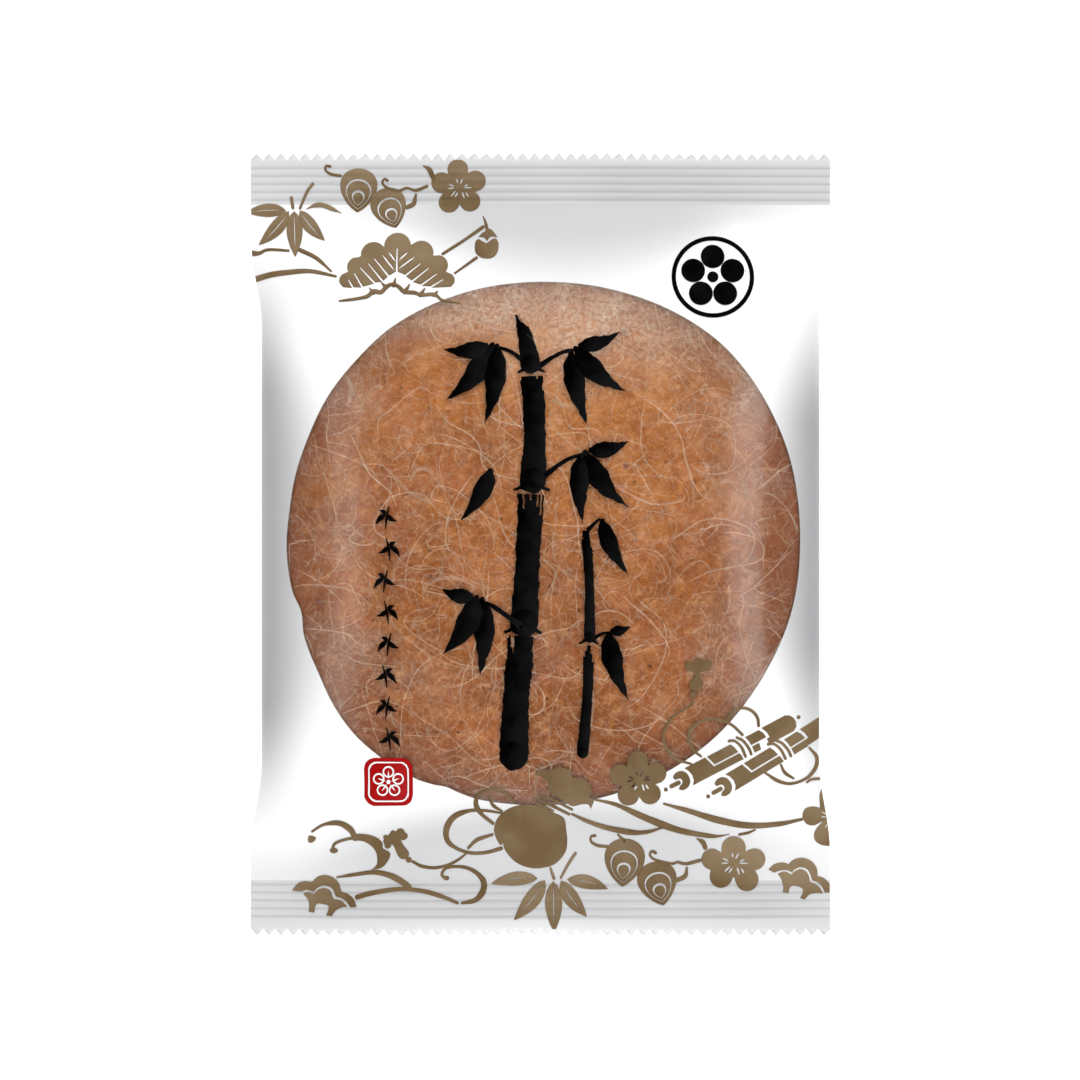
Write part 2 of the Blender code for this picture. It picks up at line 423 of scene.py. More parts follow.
def hairsFor(graph, source, size, thin, seed):
    # winding hairs along the middle level of a soft noise, broken up by another
    def soft(own, scale, detail):
        values = {"Vector": source, "W": own, "Scale": scale / size, "Detail": detail}
        return graph.add("ShaderNodeTexNoise", values, noise_dimensions="4D").outputs["Fac"]

    lines, breaks = soft(seed, 1000, 0.5), soft(seed + filmLooks["breakSeed"], 800, 1.0)
    away = graph.maths("ABSOLUTE", graph.maths("SUBTRACT", lines, 0.5))
    broken = graph.mapped(breaks, *filmLooks["hairBreaks"], 0.0, 1.0)
    return graph.times(graph.mapped(away, 0.0, thin, 1.0, 0.0), broken)


def makeFilmMaterial():
    # clear where it clings to the cake, frosted white where it stands off it
    look = filmLooks
    material, graph, frosted = newMaterial("washiFilm")
    place = graph.place()
    grain, flow = graph.noise(place, *look["grain"]), graph.noise(place, *look["flow"])
    cloud = graph.times(graph.attribute("cloud"), graph.mapped(grain, *look["grainSpan"]))
    for index, (size, thin, most) in enumerate(look["hairs"]):
        hairs = hairsFor(graph, place, size, thin, look["hairSeed"][0] + index * look["hairSeed"][1])
        cloud = graph.maths("ADD", cloud, graph.times(hairs, most))
    offCake = graph.mapped(graph.attribute("pastCake"), *look["standOff"], 0.0, 1.0)
    haze = graph.mix(offCake, cloud, (look["white"],) * 3)
    paper = graph.mix(offCake, colours["fibre"], colours["film"])
    # painted shade: the attribute greys the white towards the sides, beside the seals, in the seal grooves,
    # at the edges and teeth, and along the fin's ribs
    shaded = graph.mix(graph.attribute("paintedShade"), paper, colours["filmPaintedShade"])
    normal = graph.bumps((grain, *look["grainBump"]), (flow, *look["flowBump"]))
    graph.fill(frosted, {"Base Color": shaded, "Roughness": look["rough"],
                         "Specular IOR Level": look["specular"], "Normal": normal})
    bare = graph.add("ShaderNodeBsdfTransparent").outputs[0]
    gloss = graph.add("ShaderNodeBsdfGlossy", {"Roughness": look["glossRough"], "Normal": normal}).outputs[0]
    fresnel = graph.add("ShaderNodeFresnel", {"IOR": look["refraction"]}).outputs[0]
    # light that leaves the pack goes straight through; only the outside shines
    shine = graph.times(graph.maths("MINIMUM", fresnel, look["mostShine"]), graph.outside())
    graph.finish(graph.blend(haze, graph.blend(shine, bare, gloss), frosted.outputs[0]))
    return material


def makeCrustMaterial(name, darken):
    look = crustLooks
    material, graph, shader = newMaterial(name)
    place = graph.place()
    noises = {key: graph.noise(place, *look[key]) for key in ("broad", "mottle", "crumb")}
    # the crust's tone, with painted light lighter towards the top end
    base = graph.ramp(graph.attribute("toneAndPaintedLight"), look["tones"])
    for source, low, high, most, colour in look["patches"]:
        base = graph.mix(graph.mapped(noises[source], low, high, 0.0, most), base, colours[colour])
    base = graph.mix(1.0, base, graph.mapped(noises["crumb"], *look["grain"]), "MULTIPLY")
    mottleColour = noises["mottle"].node.outputs["Color"]
    ragged = graph.vector("MULTIPLY_ADD", {0: mottleColour, 1: (look["ragged"],) * 3, 2: place})
    for size, spread, colour, share in look["pores"]:
        values = {"Vector": ragged, "Scale": 1000 / size, "Randomness": 1.0}
        cells = graph.add("ShaderNodeTexVoronoi", values, feature="F1")
        edge = [spread * part for part in look["poreEdge"]]
        near = graph.mapped(cells.outputs["Distance"], *edge, share, 0.0)
        chosen = graph.add("ShaderNodeSeparateColor", {0: cells.outputs["Color"]}).outputs[0]
        picked = graph.maths("GREATER_THAN", chosen, look["poreShare"])
        base = graph.mix(graph.times(near, picked), base, colours[colour])
    # painted shade, darker and redder towards the rim
    base = graph.mix(graph.attribute("rim"), base, colours["crustRimShade"])
    if darken < 1:
        base = graph.mix(1.0, base, (darken,) * 3, "MULTIPLY")
    normal = graph.bumps((noises["crumb"], *look["crumbBump"]), (noises["mottle"], *look["mottleBump"]))
    graph.fill(shader, {"Base Color": base, "Roughness": look["rough"],
                        "Specular IOR Level": look["specular"], "Normal": normal})
    return material


def makePasteMaterial():
    look = pasteLooks
    material, graph, shader = newMaterial("beanPaste")
    beans = graph.noise(graph.place(), *look["beans"])
    graph.fill(shader, {"Base Color": graph.ramp(beans, look["tones"]), "Roughness": look["rough"],
                        "Normal": graph.bumps((beans, *look["bump"]))})
    return material


def makeInkMaterial(name, dark, light, rough, patch, shine):
    # flat printing ink: slightly uneven, with a painted sheen, lighter across each figure as it asks for
    look = inkLooks
    material, graph, shader = newMaterial(name)
    place = graph.place()
    speckle = graph.noise(place, *look["speckle"])
    uneven = graph.mapped(graph.noise(place, patch, look["patchDetail"]), *look["uneven"])
    cover = graph.maths("ADD", graph.attribute("light"), uneven)
    low, high, smoother, rougher = look["roughSpan"]
    graph.fill(shader, {"Base Color": graph.mix(cover, colours[dark], colours[light]),
                        "Roughness": graph.mapped(speckle, low, high, rough + smoother, rough + rougher),
                        "Specular IOR Level": shine, "Normal": graph.bumps((speckle, *look["bump"]))})
    return material


def makeFibreMaterial():
    # paper fibres; "cover" says how much of what lies under it each strand hides
    look = fibreLooks
    material, graph, shader = newMaterial("washiFibre")
    base = graph.ramp(graph.noise(graph.place(), *look["along"]), look["tones"])
    graph.fill(shader, {"Base Color": base, "Roughness": look["rough"],
                        "Specular IOR Level": look["specular"]})
    bare = graph.add("ShaderNodeBsdfTransparent").outputs[0]
    cover = graph.times(graph.attribute("cover"), graph.outside())
    graph.finish(graph.blend(cover, bare, shader.outputs[0]))
    return material


inkNames = gold, black, red, white = "goldPrint", "blackPrint", "redPrint", "whitePrint"
filmMaterial = makeFilmMaterial()
topCrust = makeCrustMaterial("pancakeCrust", 1.0)
bottomCrust = makeCrustMaterial("lowerPancakeCrust", 0.9)
pasteMaterial = makePasteMaterial()
inkMaterials = {ink: makeInkMaterial(*inkLooks[ink]) for ink in inkNames}
fibreMaterial = makeFibreMaterial()
print("materials made")


filmGrid = {
    "column": 100 / 192, "edgeCells": 4, "edgeSplit": 3,   # fine columns, finer still at the two sides
    "row": 0.7, "crimpRows": 8, "margin": (65.8, 66.1),
    "beside": 0.14,   # a row close to each seal, so that its shading starts crisply
    "backColumns": 64, "backCrowding": 1.25,
}


def columnSpots():
    # in millimetres across the full width, from left to right
    cells = round(packForm["width"] / filmGrid["column"])
    spots = []
    for cell in range(cells):
        split = filmGrid["edgeSplit"] if min(cell, cells - 1 - cell) < filmGrid["edgeCells"] else 1
        spots += [(cell + part / split) * filmGrid["column"] - packForm["width"] / 2 for part in range(split)]
    return spots + [packForm["width"] / 2]


def rowSpots():
    # from the bottom end to the top end, without the toothed edges themselves
    def endRows(sign):
        step = packForm["crimpPitch"] / filmGrid["crimpRows"]
        count = packForm["crimps"] * filmGrid["crimpRows"]
        return [sealEdge(sign) + step * index for index in range(count + 1)] + list(filmGrid["margin"])
    low, high = -sealEdge(-1), sealEdge(1)
    count = round((high - low) / filmGrid["row"])
    middle = [blendOf(low, high, index / count) for index in range(1, count)]
    middle = [low + filmGrid["beside"]] + middle + [high - filmGrid["beside"]]
    return [-spot for spot in reversed(endRows(-1))] + middle + endRows(1)


columns, rows = columnSpots(), rowSpots()


def zipLines(first, second, firstAt, secondAt):
    # triangles between two lines of points that run the same way
    faces, i, j = [], 0, 0
    while i < len(first) - 1 or j < len(second) - 1:
        if j == len(second) - 1 or (i < len(first) - 1 and firstAt[i + 1] <= secondAt[j + 1]):
            faces.append((first[i], first[i + 1], second[j]))
            i += 1
        else:
            faces.append((first[i], second[j + 1], second[j]))
            j += 1
    return faces


def makeFilm():
    verts, faces, looks = [], [], []

    def addPoint(x, y, z, isFront=True):
        verts.append((x, y, z))
        looks.append(filmLook(x, y, isFront))
        return len(verts) - 1

    front, back = [], []
    for y in rows:
        wide = halfWidth(y) * 2 / packForm["width"]
        spots = [column * wide for column in columns]
        heights = [frontHeight(x, y) for x in spots]
        heights[0], heights[-1] = [middleHeight(side * halfWidth(y), y) for side in (-1, 1)]
        front.append([addPoint(x, y, z) for x, z in zip(spots, heights)])
        under = []
        for index in range(1, filmGrid["backColumns"]):
            share = index / filmGrid["backColumns"] * 2 - 1
            x = math.copysign(1 - (1 - abs(share)) ** filmGrid["backCrowding"], share) * halfWidth(y)
            under.append(addPoint(x, y, backHeight(x, y), False))
        back.append([front[-1][0]] + under + [front[-1][-1]])
    ends = []
    for side in (-1, 1):
        cut = [(x, toothedEnd(x, side)) for x in columns]
        ends.append([addPoint(x, y, middleHeight(x, y)) for x, y in cut])

    def addQuads(low, high, turned):
        for a, b, c, d in zip(low, low[1:], high[1:], high):
            faces.append((a, d, c, b) if turned else (a, b, c, d))

    for sheet in (front, back):
        for low, high in zip(sheet, sheet[1:]):
            addQuads(low, high, sheet is back)
    for end, isTop in ((0, False), (-1, True)):
        line, frontRow, backRow = ends[end], front[end], back[end]
        addQuads(line, frontRow, isTop)
        lineAt, backAt = [[verts[index][0] for index in row] for row in (line, backRow)]
        for triangle in zipLines(line, backRow, lineAt, backAt):
            faces.append(triangle if isTop else triangle[::-1])
    film = makePiece("film", verts, faces, filmMaterial)
    for name, values in zip(("pastCake", "cloud", "paintedShade"), zip(*looks)):
        addLayer(film, name, values)
    return film


def cloudAt(x, y, past, isFront):
    look = filmLooks
    size, strength, settings = look["clouds"]
    clouds = fractal(x / size, y / size, 5.3 if isFront else 9.9, settings) * strength
    sizeX, sizeY, strength, settings = look["wisps"]
    wisps = fractal(x / sizeX, y / sizeY, 1.7, settings) * strength
    near = smoothStep(past, *look["thicken"])
    # the deep and wide cloud at the top add a painted reflection over the film's own cloud
    deep, wide = [smoothStep(y, *heights) * (1 - smoothStep(abs(x - middle), *reach))
                  for heights, middle, reach in (look["deepCloud"], look["wideCloud"])]
    fade, start, end = look["topFade"]
    top = max(deep, wide) * (1 - fade * smoothStep(past, start, end))
    most, added = look["topShare"]
    base, gain = look["cloudShare"]
    amount = max(0.0, clouds + wisps) * (base + gain * near) + most * top * (most + wisps)
    return look["cloud"] * (min(amount, 1.0) + added * top)


# painted shade on the film towards each side of the tube
def sidePaintedShade(x, y):
    side = filmLooks["sideLeft" if x < 0 else "sideRight"]
    along = abs(y - side["middle"])
    fadeOut = blendOf(*side["reach"], smoothStep(along, *filmLooks["sideNarrow"]))
    fromSide = smoothStep(halfWidth(y) - abs(x), filmLooks["sideStart"], fadeOut)
    fromMiddle = smoothStep(along, *side["above" if y > side["middle"] else "below"])
    return side["grey"] * (1 - fromSide) * (1 - fromMiddle)


# painted shade on the film beside each seal, fading away from it
def besideSealPaintedShade(x, end, aside, fromSeal):
    away = (abs(x - end["reachMiddle"]) * 2 / packForm["width"]) ** 2
    reach = end["reach"] * max(end["least"], 1 - end["narrow"] * away)
    full = reach * end["full"] * max(filmLooks["leastFull"], 1 - away)
    level = end["grey"] * (1 - end["fade"] * smoothStep(aside, *end["from"]))
    return level * (1 - smoothStep(fromSeal, full, reach))


# painted shade on the seal itself, in its grooves, at its edge and on the teeth
def sealPaintedShade(x, y, aside, pastSeal):
    look = filmLooks
    uneven = noise.noise(Vector((x / look["sealSize"], 0.4, 2.0 if y > 0 else 6.0)))
    level = look["sealPaintedShade"] * (1 + look["sealUneven"] * uneven - look["sealUneven"] * aside)
    groove = (-crimp(y) / packForm["crimpDepth"]) ** look["groovePower"]
    edge = look["edgePaintedShade"] * (1 if y > 0 else 1 - look["bottomEdge"] * (1 - aside))
    edge += look["teethPaintedShade"] * smoothStep(pastSeal, *look["teethReach"]) * (y > 0)
    return blendOf(level + look["groovePaintedShade"] * groove, edge, smoothStep(pastSeal, *look["edgeReach"]))


def filmLook(x, y, isFront):
    # distance past the cake, cloudiness over it, and how much painted shade greys the white
    nearest, farthest = filmLooks["farthest"]
    past = min(max(pastCake(x, y, isFront), nearest), farthest)
    end = filmLooks["endTop" if y > 0 else "endBottom"]
    aside = abs(x - end["middle"]) * 2 / packForm["width"]
    fromSeal = sealEdge(y) - abs(y)
    if fromSeal > 0:
        grey = max(sidePaintedShade(x, y), besideSealPaintedShade(x, end, aside, fromSeal))
    else:
        grey = sealPaintedShade(x, y, aside, -fromSeal)
    return past, cloudAt(x, y, past, isFront), grey


film = makeFilm()
print("film:", len(film.data.polygons), "faces")


pancakeForm = {
    "rings": 110, "crowding": 1.5, "wobble": (9, 0.12),
    # bumps of the crust: size, height, how far they lie under the film, and the noise's settings
    "bumps": (9, 0.22, 0.18, (0.7, 2.0, 3)),
    # painted light: lightest a little above the middle and lighter towards the top end, on a tone that drifts
    # at random; painted shade, darker and redder, towards the rim
    "glow": (3, 26, 25, 0.40), "drift": (12, 0.34, (0.8, 2.0, 4)), "toneAndPaintedLight": (0.17, 0.0022),
    "rim": ((0.74, 6.2), (0.1, 0.8)), "middleReach": 44,
    "innerInset": 1.0, "innerStep": 0.1, "innerReach": 4,
}


def makePancake(name, table, rim, isTop, material):
    form = pancakeForm
    verts, faces, rimShadeShare, tones = [], [], [], []
    edge, turn, power = rim
    spokes, rings = cakeForm["spokes"], form["rings"]
    middle = cakeForm["middle"]
    bumpSize, bumpHeight, under, bumpSettings = form["bumps"]

    def crustHeight(x, y, share):
        soft = fractal(x / bumpSize, y / bumpSize, 2.2 if isTop else 6.1, bumpSettings) * bumpHeight
        if isTop:
            against = frontHeight(x, y) - cakeForm["filmGap"] + (soft - under)
        else:
            against = backHeight(x, y) + cakeForm["filmGap"] + (under - soft)
        return edge + (against - edge) * (1 - share ** turn) ** power

    def addPoint(x, y, z, fromRim):
        glowX, glowY, glowSize, glowShare = form["glow"]
        glow = glowShare * math.exp(-((x - glowX) ** 2 + (y - glowY) ** 2) / glowSize ** 2)
        driftSize, driftShare, driftSettings = form["drift"]
        drift = driftShare * fractal(x / driftSize, y / driftSize, 3.7 if isTop else 8.2, driftSettings)
        base, upwards = form["toneAndPaintedLight"]
        (broad, broadReach), (thin, thinReach) = form["rim"]
        verts.append((x, y, z))
        # painted light round the glow and towards the top end, on a tone that drifts at random
        tones.append(min(max(base + upwards * y + glow + drift, 0.0), 1.0))
        # painted shade at the rim: a broad band and a thin dark line at the edge
        rimShadeShare.append(broad * math.exp(-(fromRim / broadReach) ** 2)
                        + thin * math.exp(-fromRim / thinReach))

    addPoint(*middle, crustHeight(*middle, 0), form["middleReach"])
    for ring in range(1, rings + 1):
        share = 1 - (1 - ring / rings) ** form["crowding"]   # rings crowd towards the rim
        for spoke in range(spokes):
            angle = 360 * spoke / spokes
            size, depth = form["wobble"]
            wobble = noise.noise(Vector((*polar(0, 0, size, angle), 0.5 if isTop else 4.5))) * depth
            x, y = polar(*middle, (radiusAt(table, angle) + cakeForm["tuck"] + wobble) * share, angle)
            addPoint(x, y, crustHeight(x, y, share), (1 - share) * radiusAt(table, angle))
    # the cut face towards the paste, closed in the middle
    inner = edge + (-form["innerStep"] if isTop else form["innerStep"])
    for spoke in range(spokes):
        spot = polar(*middle, cakeForm["paste"] - form["innerInset"], 360 * spoke / spokes)
        addPoint(*spot, inner, form["innerReach"])
    addPoint(*middle, edge, form["innerReach"])

    def at(ring, spoke):
        return 1 + (ring - 1) * spokes + spoke % spokes

    for spoke in range(spokes):
        faces.append((0, at(1, spoke), at(1, spoke + 1)))
        faces.append((len(verts) - 1, at(rings + 1, spoke + 1), at(rings + 1, spoke)))
        for ring in range(1, rings + 1):
            faces.append((at(ring, spoke), at(ring + 1, spoke), at(ring + 1, spoke + 1), at(ring, spoke + 1)))
    if not isTop:
        faces = [face[::-1] for face in faces]
    piece = makePiece(name, verts, faces, material)
    addLayer(piece, "rim", rimShadeShare)
    addLayer(piece, "toneAndPaintedLight", tones)
    return piece


# share of the way out at each level, lumps (how many, how deep) and how far in the paste starts
pasteForm = {"profile": (0.6, 0.95), "round": 0.15, "overlap": 0.05, "lumps": (14, 0.5, (0.8, 2, 3)),
             "inset": 4, "reach": 3.6}


def makePaste():
    verts, faces = [], []
    spokes = cakeForm["spokes"]
    low, high = cakeForm["bottomRim"][0] - pasteForm["overlap"], cakeForm["topRim"][0] + pasteForm["overlap"]
    (flat, wide), turn = pasteForm["profile"], pasteForm["round"]
    profile = ((0.0, low), (flat, low), (wide, low + turn), (1.0, (low + high) / 2), (wide, high - turn),
               (flat, high), (0.0, high))
    size, depth, settings = pasteForm["lumps"]
    for share, z in profile:
        for spoke in range(spokes):
            angle = 360 * spoke / spokes
            lumps = fractal(*polar(0, 0, size, angle), z, settings) * depth
            radius = (cakeForm["paste"] - pasteForm["inset"]) + share * (pasteForm["reach"] + lumps)
            verts.append((*polar(*cakeForm["middle"], radius, angle), z))
    for start in range(0, (len(profile) - 1) * spokes, spokes):
        for spoke in range(spokes):
            after = (spoke + 1) % spokes
            faces.append((start + spoke, start + after, start + spokes + after, start + spokes + spoke))
    faces.append(tuple(reversed(range(spokes))))
    faces.append(tuple(range((len(profile) - 1) * spokes, len(profile) * spokes)))
    return makePiece("beanPaste", verts, faces, pasteMaterial)


def makeFin():
    # the tube's one long seam, pressed flat against the back and finely ribbed
    verts, faces = [], []
    across, along = finSeal["columns"], finSeal["rows"]
    for row in range(along + 1):
        y = blendOf(-finSeal["end"], finSeal["end"], row / along)
        rib = finSeal["rib"] * math.cos(2 * math.pi * y / finSeal["pitch"])
        for column in range(across + 1):
            x = finSeal["fold"] + finSeal["width"] * column / across
            high = backHeight(x, y) - finSeal["gap"]
            verts += [(x, y, high), (x, y, high - finSeal["thickness"] + rib)]
    line = 2 * (across + 1)

    def addSide(a, b, c, d, turned):
        faces.append((d, c, b, a) if turned else (a, b, c, d))

    for row in range(along):
        for a in range(row * line, row * line + 2 * across, 2):
            faces.append((a, a + 2, a + line + 2, a + line))
            faces.append((a + 1, a + line + 1, a + line + 3, a + 3))
        for a, turned in ((row * line, False), (row * line + 2 * across, True)):
            addSide(a, a + line, a + line + 1, a + 1, turned)
    for start, turned in ((0, False), (along * line, True)):
        for a in range(start, start + 2 * across, 2):
            addSide(a, a + 1, a + 3, a + 2, turned)
    fin = makePiece("finSeal", verts, faces, filmMaterial)
    # two layers, so whiter than the film beside it, with a line of painted shade in every rib
    for name in ("pastCake", "cloud"):
        addLayer(fin, name, [finSeal[name]] * len(verts))
    ribs = [1 + math.cos(2 * math.pi * y / finSeal["pitch"]) for x, y, z in verts]
    addLayer(fin, "paintedShade", [finSeal["paintedShade"] * rib for rib in ribs])
    return fin


cakeTop = makePancake("cakeTop", cakeForm["top"], cakeForm["topRim"], True, topCrust)
cakeBottom = makePancake("cakeBottom", cakeForm["bottom"], cakeForm["bottomRim"], False, bottomCrust)
beanPaste = makePaste()
fin = makeFin()
print("cake made")


fibreSets = {
    # long strands, the fine fuzz between them, a few thick straight ones, and strands on the back; in metres
    "washiFibres": {
        "Density": 56000, "Length": 0.0135, "Spread": 0.6, "Points": 22, "Bend": 0.0042, "Bend Size": 80.0,
        "Own Way": 2.2, "Width": 0.00024, "Cover": 0.27, "Together": 0.35, "Seed": 4,
    },
    "washiFuzz": {
        "Density": 400000, "Length": 0.005, "Spread": 0.5, "Points": 9, "Bend": 0.0022, "Bend Size": 150.0,
        "Own Way": 7.0, "Width": 0.00013, "Cover": 0.125, "Together": 0.2, "Seed": 11,
    },
    "washiStraws": {
        "Density": 3600, "Length": 0.0075, "Spread": 0.4, "Points": 9, "Bend": 0.0008, "Bend Size": 50.0,
        "Own Way": 3.0, "Width": 0.00065, "Cover": 0.2, "Together": 0.5, "Seed": 23,
    },
}
fibreSets["washiBelow"] = {
    **fibreSets["washiFibres"], "Density": 42000, "Points": 20, "Side": -1.0, "Seed": 31,
}
strandForm = {
    "shared": {"Ripple": 0.0001, "Side": 1.0},   # of every set that says nothing else
    "sweeps": (20, 55, 95, 140, 195),            # degrees
    "lift": 0.000022, "height": 0.00003, "from": 0.05, "fall": 0.1, "dropPast": -0.25,
    "sheaves": (45.0, 22.0), "ripple": (320.0, 40.0), "reach": 4,
    "hides": (0.25, 1.0), "taper": (0.5, 0.75, 0.2), "fineness": (0.8, 0.6), "seeds": (21, 22, 23, 24, 27),
    "discStep": 4, "discHeight": 30,
}


def makeFibreTree():
    form = strandForm
    tree = bpy.data.node_groups.new("washiStrands", "GeometryNodeTree")
    floats = ("Density", "Length", "Spread", "Bend", "Bend Size", "Own Way", "Ripple", "Width", "Cover",
              "Together", "Side")
    sockets = {"Geometry": ("Geometry",), "Object": ("Film",), "Float": floats, "Int": ("Points", "Seed")}
    for kind, names in sockets.items():
        for name in names:
            tree.interface.new_socket(name, in_out="INPUT", socket_type="NodeSocket" + kind)
    tree.interface.new_socket("Geometry", in_out="OUTPUT", socket_type="NodeSocketGeometry")
    graph = Graph(tree)
    given = graph.add("NodeGroupInput").outputs
    turnSeed, lengthSeed, ownSeed, coverSeed, arcSeed = form["seeds"]

    def step(kind, inputs, **settings):
        return graph.add("GeometryNode" + kind, inputs, **settings).outputs[0]

    def random(low, high, seed):
        node = graph.add("FunctionNodeRandomValue", {2: low, 3: high, "Seed": seed}, data_type="FLOAT")
        return node.outputs[1]

    def named(name):
        return step("InputNamedAttribute", {"Name": name}, data_type="FLOAT")

    def position():
        return step("InputPosition", {})

    def upwards(distance):
        # Side is 1 above the film and -1 below it
        up = graph.times(given["Side"], distance)
        return graph.add("ShaderNodeCombineXYZ", {"Z": up}).outputs[0]

    scattered = step("DistributePointsOnFaces",
                     {"Mesh": given["Geometry"], "Density": given["Density"], "Seed": given["Seed"]})
    # every strand is one of these arcs, each as long as the others and bent further
    arcs = graph.add("GeometryNodeGeometryToInstance")
    for sweep in form["sweeps"]:
        radius = 1 / math.radians(sweep)
        bent = step("CurveArc", {"Resolution": given["Points"], "Radius": radius,
                                 "Start Angle": math.radians(-sweep / 2), "Sweep Angle": math.radians(sweep)})
        graph.feed(step("Transform", {"Geometry": bent, "Translation": (-radius, 0, 0)}), arcs.inputs[0])
    last = len(form["sweeps"]) - 1
    which = graph.add("FunctionNodeRandomValue", {4: 0, 5: last, 8: arcSeed}, data_type="INT")
    # each its own way, but drawn towards that of its neighbours, so that some lie in sheaves
    size, drawn = form["sheaves"]
    values = {"Vector": position(), "Scale": size, "Detail": 1.0}
    shared = graph.add("ShaderNodeTexNoise", values).outputs["Fac"]
    apart = graph.times(random(-math.pi, math.pi, turnSeed), graph.maths("SUBTRACT", 1.0, given["Together"]))
    turn = graph.add("ShaderNodeCombineXYZ", {"Z": graph.maths("ADD", graph.times(shared, drawn), apart)})
    lengths = [graph.times(given["Length"], graph.maths(way, 1.0, given["Spread"]))
               for way in ("SUBTRACT", "ADD")]
    loose = step("InstanceOnPoints", {"Points": scattered, "Instance": arcs.outputs[0], "Pick Instance": True,
                                      "Instance Index": which.outputs[2], "Rotation": turn.outputs[0],
                                      "Scale": random(*lengths, lengthSeed)})
    # a number of its own for each strand, and how much it hides
    hides = graph.times(given["Cover"], random(*form["hides"], coverSeed))
    for name, value in (("strand", random(0.0, 1.0, ownSeed)), ("cover", hides)):
        loose = step("StoreNamedAttribute", {"Geometry": loose, "Name": name, "Value": value},
                     data_type="FLOAT", domain="INSTANCE")
    loose = step("RealizeInstances", {"Geometry": loose})
    strand = named("strand")

    # first a wide sweep that neighbours share in part, then a small ripple
    wide = given["Bend Size"], given["Bend"], given["Own Way"]
    rippleSize, rippleWay = form["ripple"]
    for size, bend, ownWay in (wide, (rippleSize, given["Ripple"], rippleWay)):
        values = {"Vector": position(), "W": graph.times(strand, ownWay), "Scale": size, "Detail": 0.0}
        sweep = graph.add("ShaderNodeTexNoise", values, noise_dimensions="4D").outputs["Color"]
        centred = graph.vector("SUBTRACT", {0: sweep, 1: (0.5, 0.5, 0.5)})
        flat = graph.vector("MULTIPLY", {0: centred, 1: (form["reach"], form["reach"], 0)})
        moved = graph.vector("SCALE", {0: flat, "Scale": bend})
        loose = step("SetPosition", {"Geometry": loose, "Offset": moved})

    # lay every point on the film, and drop what misses it
    surface = graph.add("GeometryNodeObjectInfo", {"Object": given["Film"]}).outputs["Geometry"]
    start = graph.vector("MULTIPLY_ADD", {0: position(), 1: (1, 1, 0), 2: upwards(form["from"])})
    drop = graph.add("GeometryNodeRaycast", {"Target Geometry": surface, "Attribute": named("pastCake"),
                                             "Source Position": start, "Ray Direction": upwards(-1.0),
                                             "Ray Length": form["fall"]}).outputs
    missed = graph.maths("GREATER_THAN", drop["Attribute"], form["dropPast"])
    loose = step("DeleteGeometry", {"Geometry": loose, "Selection": missed})
    onFilm = graph.vector("ADD", {0: drop["Hit Position"], 1: upwards(form["lift"])})
    laid = step("SetPosition", {"Geometry": loose, "Position": onFilm})

    # thinner towards both ends
    along = graph.add("GeometryNodeSplineParameter").outputs["Factor"]
    fromEnds = graph.times(graph.times(along, graph.maths("SUBTRACT", 1.0, along)), 4.0)
    power, most, least = form["taper"]
    taper = graph.maths("ADD", graph.times(graph.maths("POWER", fromEnds, power), most), least)
    own, least = form["fineness"]
    fineness = graph.maths("ADD", graph.times(strand, own), least)
    upright = step("SetCurveNormal", {"Curve": laid}, mode="Z_UP")
    profile = step("CurvePrimitiveQuadrilateral", {"Width": given["Width"], "Height": form["height"]})
    tube = step("CurveToMesh", {"Curve": upright, "Profile Curve": profile,
                                "Scale": graph.times(taper, fineness), "Fill Caps": True})
    whole = step("RealizeInstances", {"Geometry": tube})
    whole = step("SetMaterial", {"Geometry": whole, "Material": fibreMaterial})
    graph.add("NodeGroupOutput", {"Geometry": whole})
    return tree


def addFibres(name, tree, settings):
    # strands are scattered over a flat disc and then laid on the film
    settings = {**strandForm["shared"], **settings}
    spots = [(*polar(*cakeForm["middle"], radiusAt(cakeForm["top"], angle), angle), strandForm["discHeight"])
             for angle in range(0, 360, strandForm["discStep"])]
    piece = makePiece(name, spots, [tuple(range(len(spots)))], fibreMaterial)
    strands = piece.modifiers.new("strands", "NODES")
    strands.node_group = tree
    for item in tree.interface.items_tree:
        if item.in_out == "INPUT" and item.name in settings:
            strands[item.identifier] = settings[item.name]
        elif item.name == "Film":
            strands[item.identifier] = film
    ready = piece.evaluated_get(bpy.context.evaluated_depsgraph_get())
    mesh = bpy.data.meshes.new_from_object(ready)
    piece.modifiers.clear()
    piece.data = mesh
    mesh.polygons.foreach_set("use_smooth", [True] * len(mesh.polygons))
    print(name, len(mesh.polygons), "faces")
    return piece


fibreTree = makeFibreTree()
fibrePieces = [addFibres(name, fibreTree, settings) for name, settings in fibreSets.items()]


inkLayers = {name: {"verts": [], "faces": [], "light": [], "figures": 0} for name in inkNames}
printing = {
    "lift": {gold: 0.055, black: 0.078, red: 0.06, white: 0.115},
    "stagger": (0.005, 8),       # neighbours that cross lie a little over each other
    "thickness": 0.035,
    "step": 0.4,
    "sideCut": 49.93, "endCut": 66.35,
    "least": 1e-7, "near": 1e-5,    # smallest face, and how near a cut counts as on it
    # painted sheen: lightness at the lower left of a figure, and what it gains upwards and to the right
    "toneAndPaintedLight": (0.1, 0.0, 0.0),
}


# sets the lightness and painted sheen of the figures that follow
def toneAndSheen(low, up=0.0, right=0.0):
    printing["toneAndPaintedLight"] = (low, up, right)


